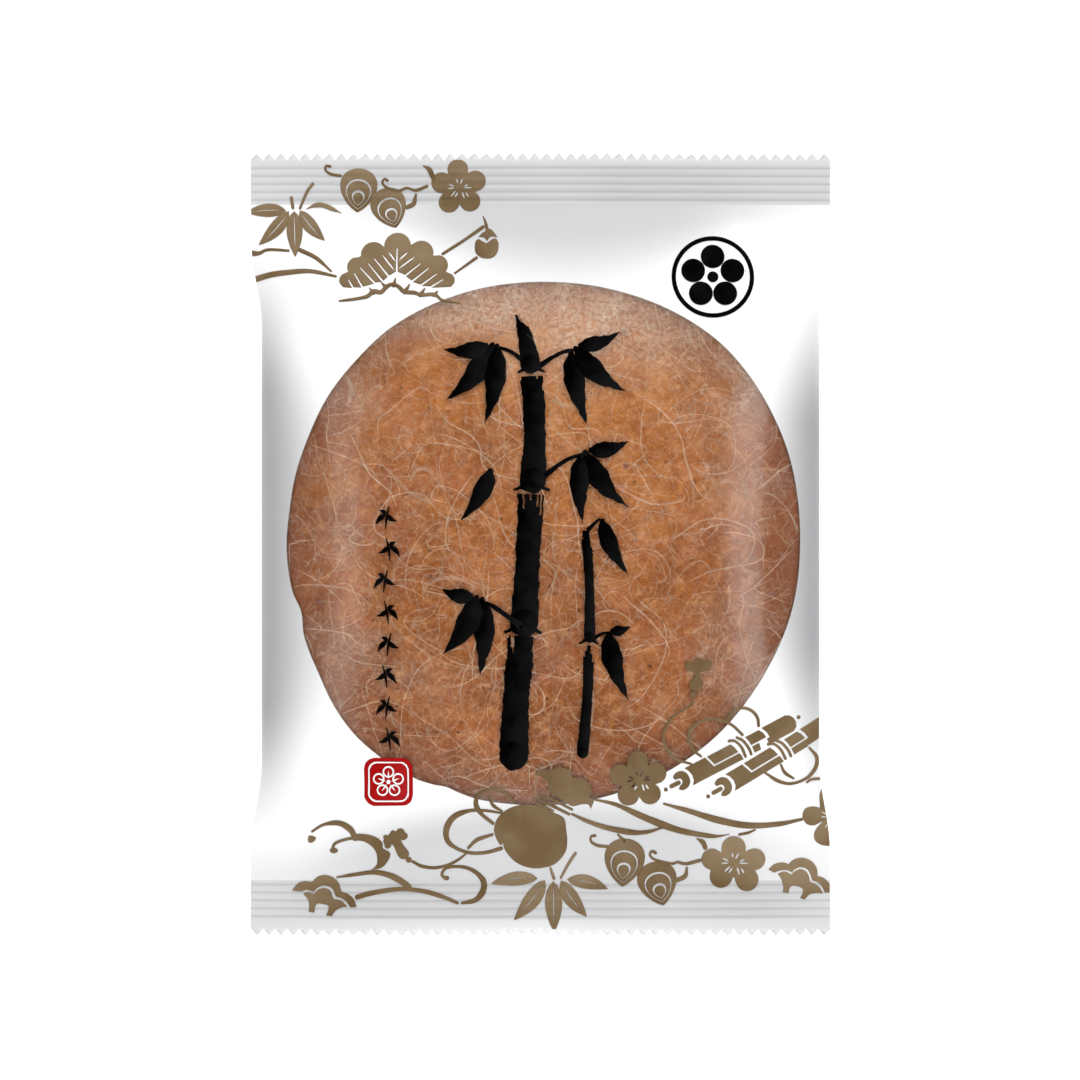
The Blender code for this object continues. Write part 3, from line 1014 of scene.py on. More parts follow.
def placeFigure(ink, spots, faces):
    # spots in millimetres as seen from above; faces name them by index
    layer = inkLayers[ink]
    stagger, turns = printing["stagger"]
    lift = printing["lift"][ink] + stagger * (layer["figures"] % turns)
    layer["figures"] += 1
    half = packForm["width"] / 2
    figure = bmesh.new()
    made = [figure.verts.new((x / halfWidth(y) * half, y, 0)) for x, y in spots]
    for face in faces:
        turn = sum(spots[a][0] * spots[b][1] - spots[b][0] * spots[a][1]
                   for a, b in zip(face, face[1:] + face[:1]))
        if abs(turn) > printing["least"]:
            figure.faces.new([made[index] for index in (face if turn > 0 else face[::-1])])

    def cut(line, normal, **settings):
        geometry = figure.verts[:] + figure.edges[:] + figure.faces[:]
        spot = tuple(line * part for part in normal)
        bmesh.ops.bisect_plane(figure, geom=geometry, dist=printing["near"], plane_co=spot, plane_no=normal,
                               **settings)

    for axis, lines in ((0, columns), (1, rows)):
        values = [vert.co[axis] for vert in made]
        for line in lines:
            if min(values) < line < max(values):
                cut(line, (1 - axis, axis, 0))
    for line, x, y in ((printing["sideCut"], 1, 0), (printing["endCut"], 0, 1)):
        for sign in (-1, 1):
            cut(line, (sign * x, sign * y, 0), clear_outer=True)
    figure.verts.index_update()
    start = len(layer["verts"])
    low, up, right = printing["toneAndPaintedLight"]
    (left, wide), (foot, tall) = [(min(values), max(values) - min(values) or 1) for values in zip(*spots)]
    for vert in figure.verts:
        y = vert.co.y
        x = vert.co.x / half * halfWidth(y)
        layer["verts"].append((x, y, frontHeight(x, y) + lift))
        # painted sheen: lighter upwards and to the right across the figure
        layer["light"].append(low + up * (y - foot) / tall + right * (x - left) / wide)
    layer["faces"] += [[vert.index + start for vert in face.verts] for face in figure.faces]
    figure.free()


def fillLoops(ink, *loops):
    # outer outline first; those inside it are holes, and those inside the holes are ink again
    flat = [spot for loop in loops for spot in loop]
    triangles = tessellate_polygon([[Vector((x, y, 0)) for x, y in loop] for loop in loops])
    placeFigure(ink, flat, [tuple(triangle) for triangle in triangles])


def smoothLine(spots, closed=False, step=None):
    # curve through all the spots; a spot given twice makes a corner
    step = step or printing["step"]
    points = [Vector(spot) for spot in spots]
    count, line = len(points), []
    for index in range(count if closed else count - 1):
        start, end = points[index], points[(index + 1) % count]
        before = points[index - 1] if closed or index else start * 2 - end
        after = points[(index + 2) % count] if closed or index + 2 < count else end * 2 - start
        if start != end:
            parts = max(1, round((end - start).length / step))
            line += [curveThrough(before, start, end, after, part / parts) for part in range(parts)]
    if not closed:
        line.append(points[-1])
    return [tuple(point) for point in line]


def widthAt(widths, share):
    # widths are spaced evenly along a line
    if isinstance(widths, (int, float)):
        return widths
    at = share * (len(widths) - 1)
    index = min(int(at), len(widths) - 2)
    return blendOf(widths[index], widths[index + 1], smoothStep(at - index, 0, 1))


def aheadAndAside(start, end):
    # how far apart, and the direction square to the way from one to the other
    run = math.hypot(end[0] - start[0], end[1] - start[1]) or 1
    return run, -(end[1] - start[1]) / run, (end[0] - start[0]) / run


def alongLine(line):
    # each point with its share of the way along, and the direction square to the line
    lengths = [0.0]
    for start, end in zip(line, line[1:]):
        lengths.append(lengths[-1] + math.hypot(end[0] - start[0], end[1] - start[1]))
    for index, (x, y) in enumerate(line):
        run, sideX, sideY = aheadAndAside(line[max(index - 1, 0)], line[min(index + 1, len(line) - 1)])
        yield x, y, lengths[index] / (lengths[-1] or 1), sideX, sideY


def stroke(ink, spots, widths, endParts=5):
    # a pen line of changing width with round ends
    line = smoothLine(spots)
    verts, faces = [], []
    for x, y, share, sideX, sideY in alongLine(line):
        half = widthAt(widths, share) / 2
        verts += [(x + sideX * half, y + sideY * half), (x - sideX * half, y - sideY * half)]
    for index in range(0, 2 * len(line) - 2, 2):
        faces.append((index, index + 1, index + 3, index + 2))
    for end, (left, right) in ((0, (0, 1)), (-1, (len(verts) - 1, len(verts) - 2))):
        x, y = line[end]
        half = widthAt(widths, -end) / 2
        start = math.atan2(verts[left][1] - y, verts[left][0] - x)
        fan = [left]
        for part in range(1, endParts):
            angle = start + math.pi * part / endParts
            verts.append((x + half * math.cos(angle), y + half * math.sin(angle)))
            fan.append(len(verts) - 1)
        faces.append(tuple(fan + [right]))
    placeFigure(ink, verts, faces)


def ring(x, y, radius, flatten=1.0, spokes=18):
    turns = [2 * math.pi * k / spokes for k in range(spokes)]
    return [(x + radius * math.cos(turn), y + radius * flatten * math.sin(turn)) for turn in turns]


def dot(ink, *settings):
    fillLoops(ink, ring(*settings))


# share of the way along and of the width, of a thin pointed opening
slitForm = ((0, 0.3), (0.3, 1), (0.75, 0.9), (1, 0.3))


def slit(start, end, width):
    run, sideX, sideY = aheadAndAside(start, end)
    sideX, sideY = sideX * width / 2, sideY * width / 2
    left, right = [], []
    for share, wide in slitForm:
        x, y = blendOf(start[0], end[0], share), blendOf(start[1], end[1], share)
        left.append((x + sideX * wide, y + sideY * wide))
        right.append((x - sideX * wide, y - sideY * wide))
    return left + right[::-1]


def bentSpot(base, tip, bend, share, sideX, sideY):
    return (blendOf(base[0], tip[0], share) + sideX * bend * 4 * share * (1 - share),
            blendOf(base[1], tip[1], share) + sideY * bend * 4 * share * (1 - share))


leafForm = {"parts": 12, "round": 0.85, "vein": (0.04, 0.86, 0.5)}


def leafOutline(base, tip, wide, bend, low, high, fullest):
    run, sideX, sideY = aheadAndAside(base, tip)
    left, right = [], []
    for part in range(leafForm["parts"] + 1):
        along = part / leafForm["parts"]
        skewed = along ** (math.log(0.5) / math.log(fullest))
        half = wide / 2 * max(math.sin(math.pi * skewed), 0) ** leafForm["round"]
        x, y = bentSpot(base, tip, bend, blendOf(low, high, along), sideX, sideY)
        left.append((x + sideX * half, y + sideY * half))
        right.append((x - sideX * half, y - sideY * half))
    return left + right[-2:0:-1]


def leaf(ink, base, tip, width, bend=0.0, vein=0.14, fullest=0.42):
    # long pointed leaf with an open middle line
    loops = [leafOutline(base, tip, width, bend, 0.0, 1.0, fullest)]
    if vein:
        loops.append(leafOutline(base, tip, vein, bend, *leafForm["vein"]))
    fillLoops(ink, *loops)


def lobed(centre, circles, spokes=90, floor=0.0):
    # outline of overlapping round lobes, seen from the centre
    spots = []
    for k in range(spokes):
        angle = 2 * math.pi * k / spokes
        dx, dy = math.cos(angle), math.sin(angle)
        far = floor
        for x, y, radius in circles:
            ahead = (x - centre[0]) * dx + (y - centre[1]) * dy
            aside = (x - centre[0]) * dy - (y - centre[1]) * dx
            if abs(aside) < radius:
                far = max(far, ahead + math.sqrt(radius * radius - aside * aside))
        spots.append((centre[0] + dx * far, centre[1] + dy * far))
    return spots


plumForm = {
    "petal": 0.37, "out": 0.63, "notch": 0.76, "opening": 0.06,
    # each opening: turned by how much from the top petal and how far out, at its start and at its end
    "openings": ((12, 0.16, 10, 0.31), (-27, 0.12, -27, 0.34), (-82, 0.2, -74, 0.36), (-96, 0.17, -94, 0.47),
                 (-144, 0.19, -156, 0.45), (-128, 0.3, -137, 0.49), (-225, 0.16, -224, 0.43),
                 (-195, 0.17, -204, 0.38), (75, 0.17, 68, 0.39), (94, 0.155, 94, 0.41)),
}


def fiveRound(x, y, out, turn=90.0):
    # the middles of five petals
    return [polar(x, y, out, turn + 72 * k) for k in range(5)]


def plumBlossom(ink, x, y, size, turn, circles=None):
    # five round petals with a pair of fine openings in each
    out = size * plumForm["out"]
    circles = circles or [(*spot, size * plumForm["petal"]) for spot in fiveRound(x, y, out, turn)]
    loops = [lobed((x, y), circles, floor=out * plumForm["notch"])]
    for start, near, end, far in plumForm["openings"]:
        ends = polar(x, y, size * near, turn + start), polar(x, y, size * far, turn + end)
        loops.append(slit(*ends, size * plumForm["opening"]))
    fillLoops(ink, *loops)


jewelForm = {
    "rings": (1.0, 0.68, 0.62, 0.34, 0.27), "spokes": 40, "point": 0.62, "fullest": 0.83, "middle": 0.755,
}


def jewel(ink, top, tip, width):
    # wishing jewel: a drop with ring after ring inside it
    length, sideX, sideY = aheadAndAside(top, tip)
    middle = jewelForm["middle"] * length
    loops = []
    for scale in jewelForm["rings"]:
        loop = []
        for k in range(jewelForm["spokes"]):
            angle = 2 * math.pi * k / jewelForm["spokes"]
            across = width / 2 * math.sin(angle) * abs(math.sin(angle / 2)) ** jewelForm["point"]
            across = across / jewelForm["fullest"] * scale
            down = middle + (length * (1 + math.cos(angle)) / 2 - middle) * scale
            loop.append((top[0] + sideY * down + sideX * across, top[1] - sideX * down + sideY * across))
        loops.append(loop)
    fillLoops(ink, *loops)


def shape(ink, *outlines):
    fillLoops(ink, *[smoothLine(outline, closed=True) for outline in outlines])


def trace(ink, lines):
    for spots, widths in lines:
        stroke(ink, spots, widths)


def bambooSpray(ink, leaves, stems):
    for base, tip, width, bend in leaves:
        leaf(ink, base, tip, width, bend)
    trace(ink, stems)


# pine, bamboo and plum at the upper left
pineFan = {
    "lobes": ((-33.3, 45.4, 1.3), (-31.5, 47.7, 1.75), (-28.7, 49.9, 2.2), (-24.6, 51.4, 2.3),
              (-20.5, 50.2, 2.1), (-17.7, 48.0, 1.8), (-16.0, 45.4, 1.3)),
    # openings between the needles, from the tip of each to where it leaves the lower edge
    "needles": (((-33.0, 45.5), (-32.2, 44.1)), ((-32.0, 46.6), (-30.6, 44.2)),
                ((-31.0, 47.6), (-28.5, 44.9)), ((-29.6, 48.3), (-27.1, 45.2)),
                ((-28.6, 49.2), (-26.1, 46.1)), ((-24.65, 51.0), (-24.7, 46.9)),
                ((-20.6, 48.3), (-23.2, 46.2)), ((-19.2, 47.5), (-22.0, 45.2)),
                ((-17.8, 46.5), (-20.5, 44.5)), ((-16.7, 45.5), (-18.8, 44.2))),
    "sprigs": (((-24.95, 48.7), (-26.1, 50.3)), ((-25.1, 47.1), (-27.2, 49.8)),
               ((-24.35, 48.9), (-22.8, 50.3)), ((-24.4, 47.4), (-21.6, 49.5))),
    "opening": 0.3, "sprigOpening": 0.26,
    "peak": (-24.7, 46.9), "foot": 44.5, "clear": 1, "below": 3.5, "corners": ((-15.4, 44.2), (-33.9, 44.2)),
}


def placePineFan():
    # lobes over the top, then back along the lower edge and up into each opening
    peak = pineFan["peak"]
    crown = [spot for spot in lobed(peak, pineFan["lobes"], 120)
             if spot[1] > pineFan["foot"] and math.dist(spot, peak) > pineFan["clear"]]
    crown.sort(key=lambda spot: math.atan2(spot[1] - peak[1] + pineFan["below"], spot[0] - peak[0]))
    right, left = pineFan["corners"]
    outline = [right] + crown + [left]
    for top, low in pineFan["needles"]:
        run, sideX, sideY = aheadAndAside(top, low)
        sideX, sideY = [side * pineFan["opening"] / 2 * (1 if sideX > 0 else -1) for side in (sideX, sideY)]
        outline += [(low[0] - sideX, low[1] - sideY), (top[0] - sideX * 0.5, top[1] - sideY * 0.5),
                    (top[0] + sideX * 0.5, top[1] + sideY * 0.5), (low[0] + sideX, low[1] + sideY)]
    fillLoops(gold, outline, *[slit(low, high, pineFan["sprigOpening"]) for low, high in pineFan["sprigs"]])


# lightness of each figure below, with a painted sheen where it grows upwards or to the right
toneAndSheen(0.2, 0.12)
placePineFan()
toneAndSheen(0.22, 0.16)
bambooSpray(gold, (
    ((-43.9, 57.6), (-50.9, 57.3), 2.35, -0.2), ((-43.4, 57.5), (-48.6, 51.6), 2.5, 0.35),
    ((-42.5, 57.5), (-42.2, 49.5), 2.8, 0.0), ((-41.5, 57.6), (-37.1, 52.3), 2.4, -0.3)), (
    (((-43.0, 59.8), (-42.7, 58.1)), 0.55),
    (((-39.3, 62.2), (-40.3, 60.8), (-41.5, 58.0)), (0.55, 0.5, 0.45)),
    (((-40.3, 57.9), (-38.9, 58.5), (-37.4, 58.5), (-34.4, 57.2)), (0.15, 0.9, 0.8, 0.12))))
toneAndSheen(0.06)
trace(gold, (
    (((-49.9, 50.2), (-48.5, 50.2), (-46.9, 50.8), (-43.4, 50.6)), (1.0, 0.55, 0.5, 0.45)),
    (((-41.4, 50.7), (-38.6, 49.3), (-36.0, 47.0)), (0.75, 0.7, 0.35)),
    (((-49.8, 45.5), (-46.6, 46.4), (-43.6, 46.8), (-39.6, 47.0), (-35.2, 46.1)),
     (1.05, 1.0, 0.9, 0.7, 0.45)),
    (((-36.3, 65.2), (-37.0, 65.3), (-37.1, 64.6), (-36.2, 63.9), (-34.5, 63.6)), (0.45, 0.4, 0.5, 0.45)),
    (((-26.4, 62.8), (-26.9, 63.1), (-27.3, 62.5), (-26.7, 61.7), (-24.6, 61.0), (-23.1, 61.5),
     (-21.5, 61.1), (-19.6, 61.8)), (0.5, 0.4, 0.45, 0.5, 0.5, 0.45, 0.6, 0.55)),
    (((-23.0, 58.2), (-21.9, 58.8), (-21.5, 60.4)), (0.75, 0.8, 0.4)),
    (((-20.2, 65.3), (-19.2, 64.7), (-18.5, 63.2)), (0.25, 0.9, 0.8)),
    (((-34.5, 41.8), (-32.0, 42.1), (-29.7, 42.6), (-28.7, 43.5), (-27.4, 43.3), (-26.4, 44.3),
     (-25.4, 44.7), (-24.4, 44.3), (-23.4, 43.4), (-21.5, 43.2), (-20.5, 42.8), (-18.2, 42.9),
     (-16.8, 41.9), (-13.9, 41.4)),
     (0.3, 0.5, 0.55, 0.72, 0.8, 0.7, 0.6, 0.75, 0.72, 0.6, 0.65, 0.5, 0.42, 0.2)),
    (((-28.7, 43.2), (-29.4, 44.1)), (0.75, 0.15)),
    (((-26.5, 44.1), (-27.5, 45.2)), (0.75, 0.15)),
    (((-25.2, 44.5), (-24.9, 45.7)), (0.75, 0.25)),
    (((-23.3, 43.3), (-22.5, 44.6)), (0.8, 0.3)),
    (((-20.6, 42.8), (-19.9, 43.9)), (0.8, 0.3)),
    (((-18.3, 42.8), (-17.7, 43.4)), (0.7, 0.3)),
    (((-16.8, 50.0), (-13.4, 52.2), (-9.9, 54.7)), (0.5, 0.5, 0.6)),
    (((-14.7, 46.6), (-11.0, 49.3)), (0.35, 0.5)),
    (((-9.9, 56.5), (-9.5, 55.6), (-9.1, 53.9)), (0.2, 0.5, 0.6)),
))
toneAndSheen(0.02, 0.42)
jewel(gold, (-31.2, 64.9), (-31.6, 57.3), 6.4)
toneAndSheen(0.04, 0.3)
jewel(gold, (-27.2, 61.4), (-24.9, 54.6), 6.1)
toneAndSheen(0.12, 0.22, -0.06)
plumBlossom(gold, -14.1, 61.6, 4.85, 93)
toneAndSheen(0.1)
shape(gold, ((-11.3, 51.3), (-11.1, 52.3), (-10.7, 52.6), (-10.7, 52.6), (-9.3, 51.8), (-9.3, 51.8),
    (-8.0, 52.7), (-7.4, 52.3), (-7.2, 51.3), (-7.6, 49.9), (-8.6, 49.2), (-10.1, 49.3), (-11.1, 50.1)))
shape(gold, ((-9.6, 53.9), (-8.9, 54.4), (-8.3, 54.1), (-7.4, 52.9), (-7.4, 52.9), (-8.6, 53.0),
    (-9.2, 52.2), (-9.2, 52.2), (-9.8, 52.9), (-10.7, 52.9), (-10.7, 52.9), (-10.1, 53.6)))
print("print at the upper left made")

# waves, cord and pine at the lower left
toneAndSheen(0.06)
trace(gold, (
    (((-39.3, -49.4), (-37.3, -48.2), (-34.7, -47.9), (-32.7, -49.0), (-31.9, -50.6)),
     (0.4, 0.5, 0.9, 1.1, 0.9)),
    (((-35.8, -52.7), (-35.4, -51.5), (-33.3, -50.7), (-31.5, -50.5)), 0.5),
    (((-22.0, -54.6), (-20.5, -55.4), (-18.2, -55.7), (-15.9, -55.2), (-14.2, -54.3), (-12.9, -53.3)),
     (0.5, 0.6, 0.55, 0.5, 0.5, 0.35)),
    (((-6.8, -46.1), (-9.3, -45.7), (-12.2, -45.7), (-14.9, -46.8), (-16.2, -49.0), (-15.9, -51.1),
     (-14.2, -52.4), (-11.9, -53.1), (-9.3, -53.0), (-6.8, -52.3)),
     (0.35, 0.5, 0.6, 1.0, 1.1, 0.9, 0.6, 0.6, 0.6, 0.7)),
    (((-8.2, -47.9), (-10.2, -46.2), (-11.1, -44.5), (-10.6, -42.9), (-8.9, -42.0), (-6.9, -42.2),
     (-5.3, -43.4), (-4.6, -44.3)), (0.6, 0.6, 0.9, 0.7, 0.55, 0.6, 0.6, 0.4)),
    (((-8.8, -43.4), (-8.1, -44.8), (-6.6, -45.8)), (0.4, 0.6, 0.35)),
    (((-12.4, -52.2), (-10.9, -50.8), (-8.3, -49.9)), (0.5, 0.7, 0.5)),
    (((-16.2, -57.6), (-17.0, -57.0), (-16.3, -55.8), (-13.9, -55.5), (-11.6, -56.2), (-9.9, -57.9),
     (-9.9, -59.7), (-11.2, -61.3), (-13.5, -61.8)), (0.6, 0.5, 0.5, 0.6, 0.75, 1.0, 1.1, 0.8, 0.5)),
    (((-35.1, -57.4), (-32.0, -56.9), (-28.7, -56.5), (-26.1, -57.0), (-24.1, -58.0), (-22.7, -59.0)),
     (0.3, 0.6, 0.7, 0.9, 1.1, 1.0)),
    (((-31.6, -60.8), (-28.7, -60.0), (-24.4, -59.4), (-20.5, -59.7), (-17.2, -60.6), (-14.3, -61.8)),
     (0.9, 0.8, 0.8, 0.75, 0.8, 0.5)),
))
shape(gold, ((-39.9, -50.1), (-39.9, -50.1), (-39.2, -50.15), (-38.6, -50.5), (-38.85, -51.0),
    (-39.4, -51.35), (-39.9, -51.35), (-40.1, -50.9)))
dot(gold, -35.6, -52.7, 0.7, 0.7)
dot(gold, -16.2, -57.5, 0.5, 0.8)
dot(gold, -22.7, -54.3, 0.52)
shape(gold, ((-32.3, -49.9), (-30.4, -49.8), (-28.4, -50.3), (-27.2, -51.3), (-27.1, -52.3), (-25.9, -53.1),
    (-26.2, -54.4), (-27.4, -55.7), (-29.2, -56.1), (-29.2, -56.1), (-28.2, -55.1), (-28.2, -53.4),
    (-28.9, -52.1), (-30.4, -51.1), (-32.3, -50.9), (-32.3, -50.9)))
shape(gold, ((-26.9, -51.4), (-27.1, -51.0), (-26.9, -50.7), (-26.9, -50.7), (-27.1, -50.3), (-26.6, -49.9),
    (-26.3, -50.1), (-26.3, -50.1), (-25.9, -49.7), (-25.7, -49.3), (-25.3, -49.1), (-24.9, -49.4),
    (-24.9, -49.4), (-24.5, -48.9), (-23.9, -48.8), (-23.4, -49.1), (-23.4, -49.4), (-23.4, -49.4),
    (-22.9, -49.8), (-22.8, -50.3), (-23.2, -50.7), (-23.8, -50.9), (-24.0, -50.6), (-24.0, -50.6),
    (-23.9, -51.2), (-23.3, -52.1), (-22.7, -52.9), (-22.7, -53.6), (-23.5, -54.2), (-24.3, -53.9),
    (-24.8, -53.0), (-25.2, -52.0), (-25.6, -51.5), (-25.6, -51.5), (-25.8, -52.1), (-26.3, -52.4),
    (-26.8, -52.1)))
toneAndSheen(0.1, 0.26, -0.16)
shape(gold, ((-42.9, -59.7), (-42.9, -59.7), (-41.9, -58.5), (-40.6, -58.1), (-39.4, -58.2), (-38.6, -57.4),
    (-37.3, -57.0), (-35.8, -57.4), (-34.8, -58.4), (-34.4, -59.6), (-34.3, -59.9), (-33.3, -60.2),
    (-32.3, -61.0), (-31.7, -62.5), (-31.7, -62.5), (-32.8, -62.6), (-32.8, -62.6), (-33.8, -61.3),
    (-35.3, -60.7), (-35.3, -60.7), (-36.0, -59.3), (-37.3, -58.8), (-38.6, -59.3), (-39.1, -59.9),
    (-40.3, -59.6), (-41.4, -59.9)))
shape(gold, ((-40.9, -60.2), (-39.9, -60.0), (-39.1, -60.3), (-38.5, -59.6), (-37.3, -59.2), (-36.3, -59.7),
    (-35.8, -60.8), (-35.6, -61.2), (-34.7, -61.3), (-33.9, -61.8), (-33.3, -62.5), (-33.3, -62.5),
    (-34.3, -62.6), (-35.3, -63.1), (-36.0, -64.1), (-36.0, -64.1), (-37.0, -64.0), (-37.0, -64.0),
    (-36.6, -63.0), (-36.6, -62.3), (-37.6, -62.0), (-38.5, -61.9), (-38.9, -62.6), (-39.0, -63.5),
    (-39.0, -63.5), (-40.0, -63.3), (-40.0, -63.3), (-39.9, -62.3), (-40.1, -61.3)))

# peach and bamboo at the lower middle
toneAndSheen(0.03, 0.04)
shape(gold, ((-6.8, -51.8), (-7.6, -50.6), (-8.0, -49.0), (-7.5, -47.2), (-6.2, -45.8), (-4.3, -44.9),
    (-2.0, -44.6), (0.4, -45.0), (2.2, -46.0), (4.0, -47.0), (4.4, -49.0), (4.6, -51.1), (4.2, -53.1),
    (2.4, -55.1), (-0.1, -55.8), (-2.3, -55.6), (-4.3, -54.7), (-5.8, -53.1), (-6.4, -51.8), (-6.3, -51.0),
    (-6.3, -51.0)))
toneAndSheen(0.22, 0.16)
bambooSpray(gold, (
    ((2.2, -58.1), (2.35, -66.9), 3.0, 0.0), ((3.5, -58.0), (8.0, -64.2), 2.7, -0.3),
    ((4.6, -57.8), (11.7, -59.4), 2.4, 0.35), ((0.8, -57.9), (-4.6, -64.8), 2.8, 0.3),
    ((-0.5, -57.6), (-8.5, -58.5), 2.4, -0.4)), (
    (((1.7, -55.8), (2.3, -57.6)), (0.4, 0.55)),
    (((6.0, -53.2), (4.9, -54.9), (3.5, -57.5)), (0.55, 0.5, 0.4))))
toneAndSheen(0.1)
shape(gold, ((-1.0, -39.2), (-0.1, -38.5), (1.6, -38.6), (3.2, -38.1), (4.9, -38.7), (5.5, -39.9),
    (7.2, -40.1), (8.4, -41.2), (8.8, -42.5), (8.4, -43.2), (9.3, -43.8), (9.3, -43.8), (8.6, -45.4),
    (8.6, -45.4), (8.2, -44.6), (7.0, -44.6), (5.4, -44.9), (3.9, -43.9), (1.9, -42.8), (1.2, -41.9),
    (1.4, -40.9), (0.6, -40.0)))
print("print at the lower left and middle made")

# scrolls, cords, jewels and plum at the lower right
trace(gold, (
    (((26.1, -26.8), (25.6, -27.6), (23.0, -29.2), (21.4, -31.3), (21.0, -33.3), (21.9, -35.3),
     (23.3, -36.8), (25.8, -37.6)), (0.35, 0.4, 0.4, 0.5, 0.5, 0.5, 0.45, 0.4)),
    (((27.5, -36.3), (26.3, -35.3), (25.5, -33.6), (25.6, -32.0), (27.0, -30.5), (28.9, -29.9),
     (30.9, -30.1), (32.9, -31.0), (34.6, -32.6)), (0.4, 0.5, 0.6, 0.6, 0.5, 0.45, 0.5, 0.5, 0.5)),
    (((32.0, -30.2), (32.9, -28.7), (34.6, -28.0), (36.2, -28.5), (37.2, -29.7), (37.4, -31.1)),
     (0.5, 0.6, 0.5, 0.55, 0.55, 0.5)),
    (((38.6, -39.2), (40.8, -40.6), (43.1, -41.1), (45.8, -40.2), (47.4, -38.4), (47.6, -36.6),
     (46.3, -35.0)), (0.4, 0.65, 0.5, 0.5, 0.7, 0.7, 0.4)),
    (((41.3, -37.8), (42.0, -39.2), (43.5, -40.2)), (0.35, 0.6, 0.4)),
    (((45.9, -40.9), (46.8, -40.4), (49.4, -40.3)), (0.4, 0.5, 0.45)),
    (((5.4, -46.3), (8.2, -47.6), (11.5, -48.7), (15.7, -49.5), (18.4, -49.4), (20.9, -48.7)),
     (0.4, 0.7, 0.9, 1.05, 0.7, 0.35)),
    (((9.5, -43.8), (13.1, -44.7), (18.4, -47.1), (23.7, -49.1), (28.9, -50.1), (30.9, -50.15),
     (32.4, -49.85)), (0.4, 0.7, 1.1, 1.25, 1.05, 0.85, 0.15)),
    (((34.2, -49.9), (35.7, -49.6), (36.9, -49.1)), (0.45, 0.5, 0.3)),
    (((21.2, -44.5), (25.6, -45.8), (30.3, -47.3), (35.5, -48.3), (40.8, -48.1), (45.0, -47.3)),
     (0.4, 0.9, 1.2, 1.1, 0.9, 0.5)),
    (((9.4, -50.1), (8.7, -50.2), (8.7, -51.1), (9.8, -51.8), (11.5, -52.0)), (0.5, 0.4, 0.5, 0.55, 0.5)),
    (((19.8, -53.1), (19.2, -52.8), (18.8, -53.4), (19.7, -54.3), (22.7, -55.0), (23.5, -54.7),
     (25.1, -55.0), (27.5, -54.4)), (0.55, 0.4, 0.45, 0.45, 0.45, 0.5, 0.6, 0.6)),
    (((23.2, -58.0), (24.9, -57.2), (25.2, -55.7)), (0.75, 0.8, 0.4)),
    (((26.9, -50.6), (27.95, -51.25), (28.35, -52.15)), (0.2, 0.85, 0.8)),
    (((13.3, -49.9), (14.4, -51.0)), (0.3, 0.7)),
    (((-0.4, -42.7), (2.6, -44.0), (5.4, -45.5)), (0.3, 0.5, 0.45)),
    (((-0.8, -43.5), (1.9, -44.8), (4.9, -46.3)), (0.3, 0.55, 0.5)),
    (((-0.8, -44.3), (0.6, -44.9), (2.2, -45.7)), (0.3, 0.45, 0.3)),
))
shape(gold, ((24.7, -20.6), (25.1, -20.0), (26.1, -20.1), (26.8, -19.6), (27.5, -19.4), (28.1, -19.8),
    (29.1, -19.9), (29.2, -20.8), (28.8, -21.4), (28.0, -21.7), (27.2, -21.6), (27.2, -22.6), (27.7, -23.6),
    (27.6, -24.5), (26.6, -25.0), (25.6, -24.5), (25.4, -23.8), (26.3, -22.7), (26.4, -22.1), (25.8, -21.6),
    (24.8, -21.3)))
dot(gold, 26.2, -25.6, 0.68, 0.8)
plumBlossom(gold, 16.8, -40.3, 5.0, 93)
toneAndSheen(-0.05, 0.42, 0.28)
plumBlossom(gold, 33.3, -54.8, 5.4, 90, ((33.24, -52.3, 2.1), (29.55, -54.2, 1.85), (31.14, -57.18, 2.0),
    (35.6, -57.8, 2.0), (36.85, -54.25, 1.9)))
toneAndSheen(0.06, 0.06)
jewel(gold, (14.75, -50.6), (14.1, -59.0), 6.9)
jewel(gold, (19.3, -54.7), (21.2, -62.2), 6.8)
toneAndSheen(0.14, 0.3)
shape(gold, ((39.3, -56.05), (39.3, -56.05), (40.2, -55.15), (41.7, -54.8), (42.8, -55.15), (42.8, -55.15),
    (43.5, -54.4), (45.0, -54.0), (46.6, -54.5), (47.5, -55.5), (47.8, -56.4), (47.8, -57.2), (47.8, -57.2),
    (48.8, -57.5), (49.7, -58.3), (50.1, -58.9), (50.1, -60.1), (50.1, -60.1), (49.1, -60.1), (49.1, -60.1),
    (48.5, -58.95), (47.7, -58.25), (46.85, -57.95), (46.85, -57.95), (46.6, -57.0), (46.0, -56.05),
    (44.85, -55.65), (43.85, -56.05), (43.4, -56.6), (43.4, -56.6), (42.4, -56.15), (41.1, -56.3),
    (40.3, -56.6), (40.3, -56.6)))
shape(gold, ((40.9, -56.8), (40.9, -56.8), (42.1, -56.4), (43.3, -56.95), (43.3, -56.95), (43.85, -56.4),
    (44.85, -56.0), (45.8, -56.4), (46.35, -57.3), (46.5, -58.25), (46.5, -58.25), (47.4, -58.6),
    (48.2, -59.2), (48.75, -60.2), (48.75, -60.2), (47.1, -60.2), (46.3, -60.5), (45.6, -61.3),
    (45.6, -61.3), (44.8, -61.0), (44.8, -61.0), (45.3, -60.0), (45.1, -59.3), (44.1, -58.9), (43.3, -58.9),
    (43.0, -59.3), (42.8, -60.2), (42.8, -60.2), (41.8, -60.0), (41.8, -60.0), (41.9, -59.0),
    (41.5, -57.7)))
